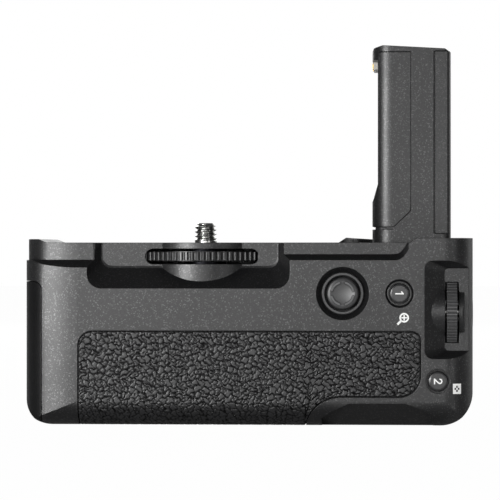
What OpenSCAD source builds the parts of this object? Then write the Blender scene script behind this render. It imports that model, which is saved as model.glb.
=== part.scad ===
// Camera battery grip: a two-bay battery magazine under a screw-on deck, with vertical shooting controls.
// Frame: origin on the camera screw's axis at the deck, +X to the right seen from behind,
// +Y forward (towards the lens), +Z up. Millimetres.

/* [Housing] */
// Overall width
body_w = 128.5; // [127:0.1:132]
// Screw axis to the left end
left_reach = 51; // [50.6:0.1:53]
// Base to deck
body_h = 52.3; // [52:0.1:56]
// Screw axis back to the rear face
rear_reach = 20.5; // [20.3:0.1:21.5]
// Screw axis forward to the main front face
front_reach = 28.5; // [28:0.1:31]
// Screw axis forward to the front of the hand bulge
bulge_reach = 46; // [45.6:0.1:48]
// Width of the hand bulge, from the right end
bulge_w = 37.5; // [34.5:0.5:41.5]
// Moulded wall
wall = 2; // [1.8:0.05:2.2]
// Round of the base's rear and front edges
base_edge_r = 7; // [5:0.25:8]
// Bottom left corner seen from behind
corner_left_r = 8.4; // [5:0.2:10]
// Bottom right corner seen from behind
corner_right_r = 9.8; // [5:0.2:11]
// Upright rear edge at the right end
rear_right_r = 8; // [5:0.25:9]
// Upright edges at the left end
upright_r = 8; // [6:0.25:9]
// Crown of the rear face towards its left end
crown_r = 40; // [30:1:60]
// Concave sweep from the front face into the bulge
bulge_sweep_r = 7; // [5:0.25:8]
// Upright edges of the bulge
bulge_edge_r = 9; // [7:0.25:9.5]
// Round under the bulge's front
bulge_base_r = 12; // [8:0.5:14]
// Y of the joint between rear and front shell
split_y = 3; // [2.5:0.1:3.4]
// Slit left between parts that are not a fit
seam = 0.15; // [0.1:0.01:0.2]

/* [Deck] */
// Thickness of the top cover
deck_t = 1.8; // [1.6:0.05:2]
// Skirt face: screw axis back to it
skirt_reach = 17.5; // [17.2:0.1:18]
// Depth of the skirt left of the thumbwheel
skirt_left_h = 5; // [4:0.1:5.5]
// Depth of the skirt right of the thumbwheel
skirt_right_h = 3.4; // [3:0.1:4]
// Height of the chamfer band below the skirt, left
band_left_h = 2.1; // [1.5:0.1:2.5]
// Height of the chamfer band below the skirt, right
band_right_h = 1.6; // [1:0.1:2]
// Raised rim at the left end
rim_left_h = 1; // [0.5:0.1:1.5]
// Raised shoulder at the right end
rim_right_h = 1.27; // [0.5:0.05:2]
// Raised rim in front, beside the tower
rim_front_h = 1.6; // [0.5:0.1:2]

/* [Thumbwheel and screw] */
// Radius of the knurled wheel
wheel_r = 21; // [20.7:0.1:21.4]
// Thickness of the wheel
wheel_t = 2.76; // [2.4:0.04:3]
// Deck to the top of the wheel
wheel_drop = 2.54; // [2.4:0.02:2.7]
// Teeth round the wheel
wheel_teeth = 80; // [60:2:90]
// Radius of the turret that houses the wheel
turret_r = 18.5; // [18:0.1:19]
// Camera screw, 1/4 inch: radius of its thread
screw_r = 3.175; // [3.1:0.005:3.2]
// Screw tip above the deck
screw_h = 5.7; // [4.5:0.1:6]
// Running clearance of turning shafts
run_gap = 0.075; // [0.03:0.005:0.09]

/* [Rear controls] */
// Stick: right end to its centre
stick_inset = 37; // [35.5:0.1:37.5]
// Stick and upper button: centre below the deck
stick_drop = 14.5; // [14:0.1:15]
// Stick dish radius
stick_dish_r = 7.55; // [7.3:0.05:8]
// Stick ring, outer radius
stick_ring_r = 5.97; // [5.8:0.01:6.1]
// Stick ring, inner radius
stick_ring_ri = 5.1; // [5:0.02:5.2]
// Stick cap radius
stick_cap_r = 4.47; // [4.3:0.01:4.5]
// Upper round button: right end to its centre
focus_inset = 20.85; // [19.5:0.05:22.5]
// Lower round button: right end to its centre
hold_inset = 9.95; // [9.5:0.05:10.5]
// Lower round button: centre below the deck
hold_drop = 39.35; // [38.5:0.05:40]
// Cap radius of the round buttons
button_r = 2.8; // [2.6:0.02:3]
// Travel of the round buttons
button_travel = 0.6; // [0.4:0.05:0.65]

/* [Dials] */
// Radius of the control dials
dial_r = 10.5; // [10.2:0.05:10.7]
// Width of the control dials
dial_w = 2.9; // [2.5:0.05:3]
// Right end to the left face of the dials
dial_inset = 7.4; // [7.2:0.05:7.5]
// Rear dial axis: screw axis back to it
rear_dial_reach = 9.7; // [9.6:0.05:10]
// Front of the bulge back to the front dial's axis
front_dial_inset = 9.8; // [9.4:0.05:10]
// Dial axes below the deck
dial_drop = 19.9; // [19.5:0.1:20.3]
// Teeth round a dial
dial_teeth = 64; // [48:2:70]

/* [Shutter end] */
// Shutter axis: screw axis forward to it
shutter_y = 15.5; // [15:0.1:16]
// Shutter axis below the deck
shutter_drop = 21; // [20.5:0.1:22]
// Radius of the shutter button
shutter_r = 5; // [4.8:0.05:5.2]
// Travel of the shutter button
shutter_travel = 1; // [0.6:0.05:1.1]
// Radius of the power lever ring
lever_r = 9.6; // [9.2:0.05:9.8]
// Side buttons below the deck
side_button_drop = 37; // [36.5:0.1:38]

/* [Battery magazine] */
// Right end to the end of the magazine, with the contact block between
contact_room = 14.4; // [14:0.1:15]
// Battery pack width
pack_w = 38.7; // [38:0.05:39]
// Battery pack thickness
pack_t = 22.7; // [22:0.05:23]
// Play of a pack in its bay, each side
pack_play = 0.25; // [0.2:0.01:0.35]
// Wall of the magazine
tray_wall = 1.1; // [0.9:0.05:1.2]
// Thickness of the magazine's end cap
cap_w = 5.3; // [5.2:0.1:6.5]
// Top of the end cap below the deck
cap_drop = 11; // [10.5:0.1:12]
// Sliding clearance of the magazine
slide_gap = 0.3; // [0.2:0.02:0.35]
// Radius of the lock knob
knob_r = 8; // [7:0.1:9]

/* [Tower] */
// Right end to the left face of the tower
tower_inset = 27.2; // [26.7:0.1:27.5]
// Width of the tower
tower_w = 21.05; // [20.8:0.05:21.2]
// Rear face of the tower: screw axis back to it
tower_back = 7; // [6.5:0.1:7.3]
// Depth of the tower
tower_d = 38.7; // [38:0.1:39.2]
// Height of the tower above the deck
tower_h = 57; // [54:0.5:60]
// Wall of the tower
tower_wall = 1.6; // [1.4:0.05:1.8]

/* [Base] */
// Tripod socket, 1/4 inch: radius of its bore
socket_r = 2.6; // [2.55:0.01:2.7]
// Tripod socket: screw axis forward to it
socket_y = 10; // [9:0.1:11]
// Depth of the tripod socket
socket_l = 5; // [4.6:0.05:5.1]

/* [Hidden] */
$fn = 64;
over = 1;
x_left = -left_reach;
x_right = body_w - left_reach;
z_base = -body_h;
y_rear = -rear_reach;
y_skirt = -skirt_reach;
z_cover = -deck_t;
inner_right = x_right - wall;
bulge_x = x_right - bulge_w;
tower_x = x_right - tower_inset;
inner_rear = y_rear + wall;
z_floor = z_base + wall;
charcoal = "#2b2c2d";
rubber_black = "#1d1e1f";
steel = "#b9bbbd";
brass = "#c2a25c";
board_green = "#1f4d38";

// Thumbwheel, its slot and the plate below it
wheel_top = -wheel_drop;
wheel_bottom = wheel_top - wheel_t;
slot_gap = 0.85;
wheel_rim = 0.2;
slot_bottom = wheel_bottom - 0.9;
recess_y = -14.5;
recess_left = -32.5;
recess_right = 25.5;
recess_base = -13.1;
recess_in = 6.05;
recess_round = 4;
recess_slope = 3.6;
recess_levels = [[y_rear, 0], [recess_y - 0.75, 0.86], [recess_y - 0.2, 0.955], [recess_y, 1.06]];
bridge_t = 1.6;
slot_round = 2.2;
slot_lip = 0.3;
skirt_t = 1.2;
plate_t = 1.4;
plate_top = wheel_bottom - 1.9;
plate_bottom = plate_top - plate_t;
plate_half = 28;
plate_rear = -8;
plate_front = 22;
post_r = 2.2;
post_at = [[-25, -5], [25, -5], [-25, 19], [25, 19]];
standoff_at = [[-21, 5], [21, 5], [-13, 19], [13, 19]];
post_screw_r = 1;
pilot_r = 2.5;
shank_r = 3.4;
shoulder_r = screw_r + 0.45;
clip_t = 0.6;
pad_t = 0.6;
ledge_t = 1.5;
cover_inset = 0.25;
fit_gap = 0.05;
skirt_right_x = recess_right - 1.45;
board_t = 1.2;
standoff_h = 2.8;
board_top = plate_bottom - standoff_h;

// Right part of the rear shell's top edge
ramp_x = x_right - 21.6;
ramp_top_x = x_right - 16.8;
ramp_curve = [[0, 0], [1, 0.05], [2, 0.165], [2.8, 0.36], [3.65, 0.61], [4.25, 0.79], [4.8, 0.92], [5.6, 1]];
skirt_curve = [[0, 0], [0.9, 0.04], [1.62, 0.13], [2.25, 0.28], [2.8, 0.5], [3.35, 0.74], [3.8, 1]];
skirt_lag = 0.85;
shoulder_back = -8.5;
rim_x = tower_x + tower_w + 0.5;

// Stick and buttons
stick_x = x_right - stick_inset;
focus_x = x_right - focus_inset;
hold_x = x_right - hold_inset;
stick_z = -stick_drop;
stick_boss_r = 9.2;
stick_flange_r = stick_ring_r + 1.2;
stick_seat_y = inner_rear + wall;
pivot_y = y_rear + 4.3;
panel_y = y_rear + 8.5;
carrier_r = 4.6;
stick_press = 0.5;
pin_r = 0.4;
hole_gap = 0.25;
flange_t = 0.8;
button_lip = 0.4;
ring_depth = 0.8;
switch_h = 2;
focus_z = -stick_drop;
hold_z = -hold_drop;
button_stem = panel_y - switch_h - button_travel - 0.2;

// Dials
dial_x = x_right - dial_inset;
dial_z = -dial_drop;
dial_slot_gap = 0.5;
dial_slot_r = dial_r + 0.6;
rear_dial_y = -rear_dial_reach;
front_dial_y = bulge_reach - front_dial_inset;
shaft_r = 1.5;
ear_t = 1.2;
ear_gap = 0.9;
dial_boss_r = 9.5;
trough_r = 9;
trough_depth = 2.8;
pocket_y = -16.7;
pocket_left = x_right - 13.8;
pocket_slope = 5.76;
pocket_top = -5.16;
pocket_base = -33;
pocket_taper = 2.17;

// Shutter end
shutter_z = -shutter_drop;
side_z = -side_button_drop;
side_ys = [shutter_y - 5.5, shutter_y + 5.5];
side_r = 2.4;
collar_r = 6.4;
dish_depth = 2.2;
dish_floor = x_right - dish_depth;
dish_r = lever_r + 0.6;
end_board_x = inner_right - 8.5;
end_board_t = 1.2;
end_switch_h = 1.8;
end_board_y = 4.5;
end_board_w = front_dial_y - 8.2 - end_board_y;
end_board_base = side_z - 6.5;
end_board_top = shutter_z + 11;
end_post_in = 2.2;
end_posts = [[end_board_y + end_post_in, end_board_top - end_post_in],
    [end_board_y + end_board_w - end_post_in, end_board_base + end_post_in]];

// Magazine
cap_x = x_left + cap_w;
bay_wall = 1.4;
bay_gap = 1.6;
tray_end = x_right - contact_room;
bay_l = (tray_end - cap_x - 2 * bay_wall - bay_gap) / 2;
bay_w = pack_w + 2 * pack_play;
tray_y0 = split_y + 1.35 - bay_w / 2 - tray_wall;
tray_y1 = tray_y0 + bay_w + 2 * tray_wall;
tray_z0 = z_base + 5.6;
pack_z0 = tray_z0 + tray_wall;
tray_z1 = pack_z0 + pack_t - 1.1;
bay_x = [cap_x + bay_wall, cap_x + bay_wall + bay_l + bay_gap];
contact_t = 0.3;
contact_z = tray_z0 + 12;
notch_r = 7;
cap_corner_r = 2.5;
knob_shaft_r = 1.9;
cam_r = 6.6;
cam_room = 1.9;
knob_y = (tray_y0 + tray_y1) / 2;
knob_z = (z_base - cap_drop) / 2;
knob_depth = 2.4;
knob_plate = 1.2;

// Tower
tower_r = tower_x + tower_w;
tower_y0 = -tower_back;
tower_y1 = tower_y0 + tower_d;
tower_round = 2.2;
tower_roll = 5.5;
tower_groove = 0.9;
skin_t = 1;
cover_x = tower_x + 9.5;
strip_x = tower_r - 4.45;
lip_x = tower_x - 1.6;
foot_t = 2.7;
foot_out = 1.6;
terminal_y0 = 4;
terminal_w = 16;

// Base
scoop_z = -45.8;
scoop_in = 8;
scoop_left = [[35.1, 0], [39.7, 2.15], [43, 4.2], [43.5, 16]];
scoop_right = [[11, 16], [11.5, 3.7], [13.5, 2.15], [19.2, 0]];
rail_w = 1.6;
tripod_plate_t = 1.2;
tripod_half = 20;
tripod_rear = -9;
tripod_front = 21.4;
base_plate_in = [9, 11.5];
base_plate_rear = -6.9;
base_plate_front = 20.6;
base_plate_r = 4;
case_screw_at = [[-16, -4.4], [16, -4.4], [-16, 16.5], [16, 16.5]];
screw_hole_r = 1.15;
screw_head_r = 1.9;
screw_head_h = 1;
screw_shank_r = 1;
bush_r = 5.5;

// Rubber panels
rubber_t = 0.9;
rubber_left = x_left + 15.93;
rubber_right = x_right - 14.9;
rubber_top = -25.3;
rubber_step = -43.9;
rubber_under = x_right - 48;
rubber_wrap_y = -8;
crown_x = rubber_left - 0.25;
front_rubber = [bulge_x + 1.5, -44, x_right - 10.5, -6];

// Carries an outline drawn in (Y, Z) along X
module along_x(x0, x1) {
    translate([x0, 0, 0]) rotate([90, 0, 90]) linear_extrude(x1 - x0) children();
}

// Carries an outline drawn in (X, Z) along Y
module along_y(y0, y1) {
    translate([0, y1, 0]) rotate([90, 0, 0]) linear_extrude(y1 - y0) children();
}

// Carries an outline drawn in (X, Y) along Z
module along_z(z0, z1) {
    translate([0, 0, z0]) linear_extrude(z1 - z0) children();
}

// A box between two corners
module block(a, b) {
    translate(a) cube(b - a);
}

// A cylinder along X, along Y or along Z
module rod_x(x0, x1, y, z, r) {
    translate([x0, y, z]) rotate([0, 90, 0]) cylinder(h = x1 - x0, r = r);
}

module rod_y(y0, y1, x, z, r) {
    translate([x, y1, z]) rotate([90, 0, 0]) cylinder(h = y1 - y0, r = r);
}

module rod_z(z0, z1, x, y, r) {
    translate([x, y, z0]) cylinder(h = z1 - z0, r = r);
}

// The corner piece outside a round of radius r at (x, y), with the body on the side (sx, sy)
module corner_cut(x, y, sx, sy, r) {
    if (r > 0) difference() {
        translate([x + sx * (r - over) / 2, y + sy * (r - over) / 2]) square(r + over, center = true);
        translate([x + sx * r, y + sy * r]) circle(r);
    }
}

// A rectangle with its own radius at each corner: bottom left, bottom right, top right, top left
module rounded_rect(x0, y0, x1, y1, r) {
    difference() {
        translate([x0, y0]) square([x1 - x0, y1 - y0]);
        corner_cut(x0, y0, 1, 1, r[0]);
        corner_cut(x1, y0, -1, 1, r[1]);
        corner_cut(x1, y1, -1, -1, r[2]);
        corner_cut(x0, y1, 1, -1, r[3]);
    }
}

// A rectangle with one radius all round
module soft_rect(x0, y0, x1, y1, r) {
    rounded_rect(x0, y0, x1, y1, [r, r, r, r]);
}

// A disc with a row of round notches cut into its edge
module knurled_disc(r, teeth, notch_r) {
    difference() {
        circle(r);
        for (i = [0 : teeth - 1]) rotate(i * 360 / teeth) translate([r + notch_r * 0.25, 0])
            circle(notch_r, $fn = 16);
    }
}

// The housing's outside, drawn d inside its skin and left open above the deck
module body_form(d) {
    sky = 5;
    intersection() {
        along_y(y_rear - over - 1, bulge_reach + over + 1)
            rounded_rect(x_left + d, z_base + d, x_right - d, sky,
                [corner_left_r - d, corner_right_r - d, 0, 0]);
        union() {
            intersection() {
                along_x(x_left - 2, x_right + 2)
                    rounded_rect(y_rear + d, z_base + d, front_reach - d, sky,
                        [base_edge_r - d, base_edge_r - d, 0, 0]);
                along_z(z_base - 2, sky) difference() {
                    rounded_rect(x_left + d, y_rear + d, x_right - d, front_reach - d,
                        [0, rear_right_r - d, 0, upright_r - d]);
                    crown_cut(x_left + d, y_rear + d, crown_r - d, upright_r - d);
                }
            }
            intersection() {
                along_x(bulge_x - bulge_sweep_r - 2, x_right + 2)
                    rounded_rect(0, z_base + d, bulge_reach - d, sky, [0, bulge_base_r - d, 0, 0]);
                along_y(0, bulge_reach + 2)
                    rounded_rect(bulge_x - bulge_sweep_r, z_base + d, x_right + 2, sky,
                    [bulge_base_r - d, 0, 0, 0]);
                along_z(z_base - 2, sky) bulge_plan(d);
            }
        }
    }
}

// Seen from above, what a crown of radius big and an upright edge of radius small take off the rear left
// corner (x, y); the edge's round stands out by a hair, so that the two arcs cross instead of only touching
module crown_cut(x, y, big, small) {
    hair = 0.002;
    middle = [crown_x, y + big];
    rise = sqrt(pow(big - small + hair, 2) - pow(crown_x - x - small, 2));
    edge = [x + small, y + big - rise];
    lean = (edge - middle) * 1.2 * big / (big - small);
    difference() {
        translate([x - over, y - over]) square([crown_x - x + over, edge[1] - y + over]);
        translate(edge) circle(small);
        intersection() {
            translate(middle) circle(big);
            polygon([middle, middle + lean, [crown_x + over, middle[1] - 1.3 * big],
                [crown_x + over, middle[1]]]);
        }
    }
}

// The hand bulge seen from above, with the concave sweep on its left flank
module bulge_plan(d) {
    rounded_rect(bulge_x + d, 0, x_right - d, bulge_reach - d, [0, 0, bulge_edge_r - d, bulge_edge_r - d]);
    difference() {
        translate([bulge_x - bulge_sweep_r, front_reach - d - over])
            square([bulge_sweep_r + d + over, bulge_sweep_r + d + over]);
        translate([bulge_x - bulge_sweep_r, front_reach + bulge_sweep_r]) circle(bulge_sweep_r + d);
    }
}

// The space inside the shells; the left overhang, the right rim and the rear lip stay solid
module hollow() {
    far = 100;
    lip_z = -7.2;
    intersection() {
        body_form(wall);
        difference() {
            block([cap_x + wall, -far, -far], [far, far, far]);
            block([rim_x, -far, z_cover], [far, far, far]);
            block([ramp_x, -far, z_cover], [far, shoulder_back, far]);
            block([-far, -far, lip_z], [far, y_skirt + skirt_t, far]);
        }
    }
}

// The end cap's space seen from behind, drawn g inside its edge
module cap_zone(g) {
    along_y(y_rear - over, front_reach + over)
        rounded_rect(x_left - over, z_base - over, cap_x - g, -cap_drop - g, [0, 0, cap_corner_r, 0]);
}

// Where the magazine passes through the left end wall, with the end cap's space
module magazine_way() {
    block([cap_x - over, tray_y0 - slide_gap, tray_z0 - slide_gap],
        [cap_x + wall + over, tray_y1 + slide_gap, tray_z1 + slide_gap + 1]);
    cap_zone(0);
}

// Upper left end, which belongs to the top cover
module cover_end_space() {
    block([x_left - over, y_rear - over, -skirt_left_h], [cap_x + wall, front_reach + over, 8]);
}

// The deck seen from above: inside the shells' border, behind the skirt line, up to the right rim
module deck_plan(d) {
    intersection() {
        union() {
            rounded_rect(x_left + wall + d, y_rear, x_right, front_reach - wall - d,
                [0, 0, 0, upright_r - wall]);
            bulge_plan(wall + d);
        }
        difference() {
            translate([cap_x + wall + d, y_skirt + d]) square([rim_x - cap_x - wall - 2 * d, 100]);
            translate([ramp_top_x - 1.8 - d, -50]) square([100, 50 + shoulder_back + d]);
            translate([recess_left + recess_slope - bridge_t - d, -50])
                square([recess_right - recess_left - 2 * recess_slope + 2 * bridge_t + 2 * d,
                    50 + recess_y + bridge_t + d]);
        }
    }
}

// The shells' outline against the sky
module skyline(front_rim) {
    polygon([[x_left - over, z_base - over], [x_right + over, z_base - over], [x_right + over, rim_right_h],
        [ramp_top_x + 0.8, rim_right_h], [ramp_top_x, 0.6 * rim_right_h], [ramp_top_x - 0.6, 0],
        [bulge_x + 8.6, 0],
        [bulge_x + 8.4, 0.7 * front_rim], [bulge_x + 0.3, front_rim], [bulge_x - 2.1, 0], [x_left + 6.5, 0],
        [x_left + 3.9, rim_left_h],
        [x_left - over, rim_left_h]]);
}

// Thumbwheel recess, grown by g: sloped floor and sides down to an upright back wall
module recess_form(g) {
    hull() for (level = recess_levels) {
        inset = level[1];
        along_y(level[0] + g - (level[1] > 0 ? 0.01 : over + g), level[0] + (level[1] > 0 ? g : 0))
            rounded_rect(recess_left + inset * recess_slope - g, recess_base + inset * recess_in - g,
                recess_right - inset * recess_slope + g, 8,
                    [recess_round - inset, recess_round - inset, 0, 0]);
    }
}

// Rear dial pocket, grown by g: open to the right end
module pocket_form(g) {
    hull() {
        along_y(y_rear - over, y_rear)
            rounded_rect(pocket_left - g, pocket_base - g, x_right + 5, pocket_top + g, [2.3, 0, 0, 2.3]);
        along_y(pocket_y + g - 0.01, pocket_y + g)
            rounded_rect(pocket_left + pocket_slope - g, pocket_base + pocket_taper - g,
                x_right + 5, pocket_top - pocket_taper + g, [1.2, 0, 0, 1.2]);
    }
}

// What is taken off above the chamfer band: from the shell's edge at the rear face up to the skirt's foot
module band_cut_left() {
    hull() {
        along_y(y_rear - over, y_rear) translate([x_left - over, -skirt_left_h - band_left_h])
            square([30, 20]);
        along_y(y_skirt - 0.01, y_skirt) translate([x_left - over, -skirt_left_h]) square([30, 20]);
    }
    block([x_left - over, y_skirt - 0.01, -skirt_left_h], [recess_left + 1.55, y_skirt + skirt_t, 8]);
}

module band_cut_right() {
    edge = -skirt_right_h - band_right_h;
    hull() {
        along_y(y_rear - over, y_rear) polygon(concat([[recess_right - 6, edge]],
            [for (p = ramp_curve) [ramp_x + p[0], edge + p[1] * (rim_right_h - edge)]],
            [[ramp_x + ramp_curve[len(ramp_curve) - 1][0], 20], [recess_right - 6, 20]]));
        along_y(y_skirt - 0.01, y_skirt) skirt_right_outline();
    }
    intersection() {
        along_y(y_skirt - 0.02, y_skirt + skirt_t) skirt_right_outline();
        block([skirt_right_x, -100, -100], [ramp_top_x - 1.8, 100, 100]);
    }
}

module skirt_right_outline() {
    polygon(concat([[recess_right - 6, -skirt_right_h]],
        [for (p = skirt_curve) [ramp_x - skirt_lag + p[0], -skirt_right_h + p[1] * skirt_right_h]],
        [[ramp_x - skirt_lag + skirt_curve[len(skirt_curve) - 1][0], 20], [recess_right - 6, 20]]));
}

// A panel of the skin between depth a and depth b below the housing's outside
module skin(a, b) {
    difference() {
        body_form(a);
        body_form(b);
    }
}

// The rear rubber panel seen from behind, grown by g
module rear_rubber_outline(g) {
    sweep_r = 10.6;
    rounded_rect(rubber_left - g, rubber_step - g, rubber_right + g, rubber_top + g, [0, 6.3, 2.6, 4.3]);
    translate([rubber_left - g, z_base - 2])
        square([rubber_under - rubber_left + 2 * g, rubber_step - z_base + 3]);
    difference() {
        translate([rubber_under - 1, rubber_step - sweep_r]) square([sweep_r + 1, sweep_r + 1]);
        translate([rubber_under + sweep_r, rubber_step - sweep_r]) circle(sweep_r - g);
    }
}

module rear_rubber_zone(g) {
    along_y(y_rear - 2, rubber_wrap_y + g) rear_rubber_outline(g);
}

module front_rubber_zone(g) {
    along_y(front_reach + 1.5 - g, bulge_reach + 2)
        soft_rect(front_rubber[0] - 12 - g, front_rubber[1] - g, front_rubber[2] + g, front_rubber[3] + g, 5);
}

// Undercut at the base's right, grown by g into the wall
module scoop_form(g) {
    drop = scoop_z + g;
    intersection() {
        along_x(0, x_right) polygon([[y_rear - over, drop], [y_rear, drop],
            [y_rear + scoop_in + g, z_base], [y_rear + scoop_in + g, z_base - over],
            [y_rear - over, z_base - over]]);
        along_y(y_rear - over, 0) polygon(concat([for (p = scoop_left) [x_right - p[0] - g, drop - p[1]]],
            [for (p = scoop_right) [x_right - p[0] + g, drop - p[1]]]));
    }
}

// Bore of one round button in the rear wall, in a sunk ring or in a groove that leaves a thin lip round the
// cap
module button_hole(x, z, groove_r, lip) {
    lip_r = button_r + hole_gap + button_lip;
    rod_y(y_rear - over, inner_rear + over, x, z, button_r + hole_gap);
    if (!lip) rod_y(y_rear - over, y_rear + ring_depth, x, z, groove_r);
    if (lip) difference() {
        translate([x, y_rear - 0.3, z]) rotate([-90, 0, 0]) cylinder(h = 1, r1 = groove_r + 0.3, r2 = lip_r);
        rod_y(y_rear + 0.15, y_rear + over, x, z, lip_r);
    }
}

// Finger trough in front of the front dial, grown by g
module front_trough(g) {
    rod_x(dial_x - 5, x_right + over, bulge_reach + trough_r - trough_depth, dial_z, trough_r + g);
}

// Slot for a dial and the hollow of its bearing bosses
module dial_slot(y) {
    rod_x(dial_x - dial_slot_gap, dial_x + dial_w + dial_slot_gap, y, dial_z, dial_slot_r);
}

// Half-round bosses beside the rear dial, standing out of the pocket
module rear_dial_bosses() {
    intersection() {
        difference() {
            union() {
                rod_x(pocket_left, dial_x, rear_dial_y, dial_z, dial_boss_r);
                rod_x(dial_x, dial_x + dial_w + dial_slot_gap + 1.5, rear_dial_y, dial_z, dial_boss_r - 0.45);
            }
            rod_x(pocket_left - over, x_right, rear_dial_y, dial_z, dial_boss_r - wall);
        }
        block([0, y_rear, z_base], [x_right, pocket_y + wall, 0]);
    }
}

// Round turret that carries the wheel, down to the recess floor, as far forward as y1
module turret(y1) {
    intersection() {
        rod_z(recess_base - 1, 0, 0, 0, turret_r);
        block([-30, y_rear, -30], [30, y1, 0]);
    }
}

// Thin lips that round the ends of the wheel's slot
module slot_lips() {
    half = sqrt(pow(wheel_r + slot_gap, 2) - pow(recess_y, 2));
    along_y(recess_y, recess_y + slot_lip) difference() {
        translate([-half - over, slot_bottom]) square([2 * half + 2 * over, z_cover - slot_bottom]);
        soft_rect(-half, slot_bottom, half, z_cover, slot_round);
    }
}

module rear_shell() {
    color(charcoal) difference() {
        intersection() {
            union() {
                difference() {
                    body_form(0);
                    hollow();
                    magazine_way();
                }
                intersection() {
                    union() {
                        recess_form(wall);
                        pocket_form(wall);
                        scoop_form(1.2);
                    }
                    body_form(0);
                }
                turret(recess_y + wall);
                rod_y(inner_rear - 0.5, stick_seat_y, stick_x, stick_z, stick_boss_r);
                for (p = [[stick_x - 8.5, stick_z - 5], [focus_x + 5.35, stick_z + 5]])
                    rod_y(inner_rear - 0.5, panel_y, p[0], p[1], 1.5);
                rod_y(inner_rear - 0.5, panel_y, hold_x + 4, hold_z - 3.6, 1.3);
                rail(tray_y0 + 1.5);
            }
            block([x_left - over, y_rear - over, z_base - over], [x_right + over, split_y, 8]);
            along_y(y_rear - over, split_y) skyline(0);
        }
        difference() {
            recess_form(0);
            turret(0);
        }
        difference() {
            pocket_form(0);
            rear_dial_bosses();
        }
        rod_x(pocket_left - 2, dial_x, rear_dial_y, dial_z, dial_boss_r - wall);
        difference() {
            rod_z(slot_bottom, z_cover, 0, 0, wheel_r + slot_gap);
            slot_lips();
        }
        dial_slot(rear_dial_y);
        band_cut_left();
        band_cut_right();
        cover_end_space();
        along_z(z_cover, 8) deck_plan(0);
        intersection() {
            skin(-over, rubber_t + 0.05);
            rear_rubber_zone(seam);
        }
        scoop_form(0);
        rod_y(y_rear - over, stick_seat_y + over, stick_x, stick_z, stick_ring_r + run_gap);
        rod_y(stick_seat_y, stick_seat_y + over, stick_x, stick_z, stick_flange_r + hole_gap);
        translate([stick_x, y_rear - 0.4, stick_z]) rotate([-90, 0, 0])
            cylinder(h = 2, r1 = stick_dish_r + 0.35, r2 = stick_ring_r + 0.2);
        button_hole(focus_x, focus_z, button_r + 1.2, true);
        button_hole(hold_x, hold_z, button_r + 0.65, false);
        base_zone(seam);
    }
}

// Runner under the magazine, standing on the floor with its near side at y
module rail(y) {
    block([cap_x + wall, y, z_floor - 0.5], [tray_end, y + rail_w, tray_z0 - slide_gap]);
}

// The base plate's opening in the shells' floor, grown by g
module base_zone(g) {
    along_z(z_base - over, z_floor + over) soft_rect(x_left + base_plate_in[0] - g, base_plate_rear - g,
        x_right - base_plate_in[1] + g, base_plate_front + g, base_plate_r);
}

// Plate let into the floor and screwed up to the tripod plate, with holes for the case screws and the tripod
// bush
module base_plate() {
    color(charcoal) difference() {
        intersection() {
            base_zone(0);
            block([x_left, y_rear, z_base], [x_right, bulge_reach, z_floor]);
        }
        for (p = case_screw_at) {
            rod_z(z_base - over, z_floor + over, p[0], p[1], screw_hole_r);
            rod_z(z_base - over, z_base + screw_head_h, p[0], p[1], screw_head_r);
        }
        rod_z(z_base - over, z_floor + over, 0, socket_y, bush_r + fit_gap);
    }
}

module front_shell() {
    color(charcoal) difference() {
        intersection() {
            union() {
                difference() {
                    body_form(0);
                    hollow();
                    magazine_way();
                }
                intersection() {
                    along_z(z_cover - ledge_t, z_cover) difference() {
                        deck_plan(-0.5);
                        deck_plan(ledge_t);
                    }
                    block([x_left, split_y, -9], [rim_x - 4, bulge_reach, 0]);
                }
                rod_x(dish_floor - 1.6, inner_right + 0.5, shutter_y, shutter_z, dish_r + 1.5);
                for (p = end_posts) rod_x(end_board_x + end_board_t, inner_right + 0.5, p[0], p[1], 1.6);
                rail(tray_y1 - 1.5 - rail_w);
                intersection() {
                    front_trough(wall);
                    body_form(0);
                }
            }
            block([x_left - over, split_y, z_base - over], [x_right + over, bulge_reach + over, 8]);
            along_y(split_y, bulge_reach + over) skyline(rim_front_h);
        }
        along_z(z_cover, 8) deck_plan(0);
        cover_end_space();
        front_trough(0);
        dial_slot(front_dial_y);
        rod_x(dish_floor, x_right + over, shutter_y, shutter_z, dish_r);
        rod_x(inner_right - 9, dish_floor + over, shutter_y, shutter_z, collar_r + fit_gap);
        for (y = side_ys) rod_x(inner_right - over, x_right + over, y, side_z, side_r + hole_gap);
        intersection() {
            skin(-over, rubber_t + 0.05);
            front_rubber_zone(seam);
        }
        base_zone(seam);
    }
}

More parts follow.
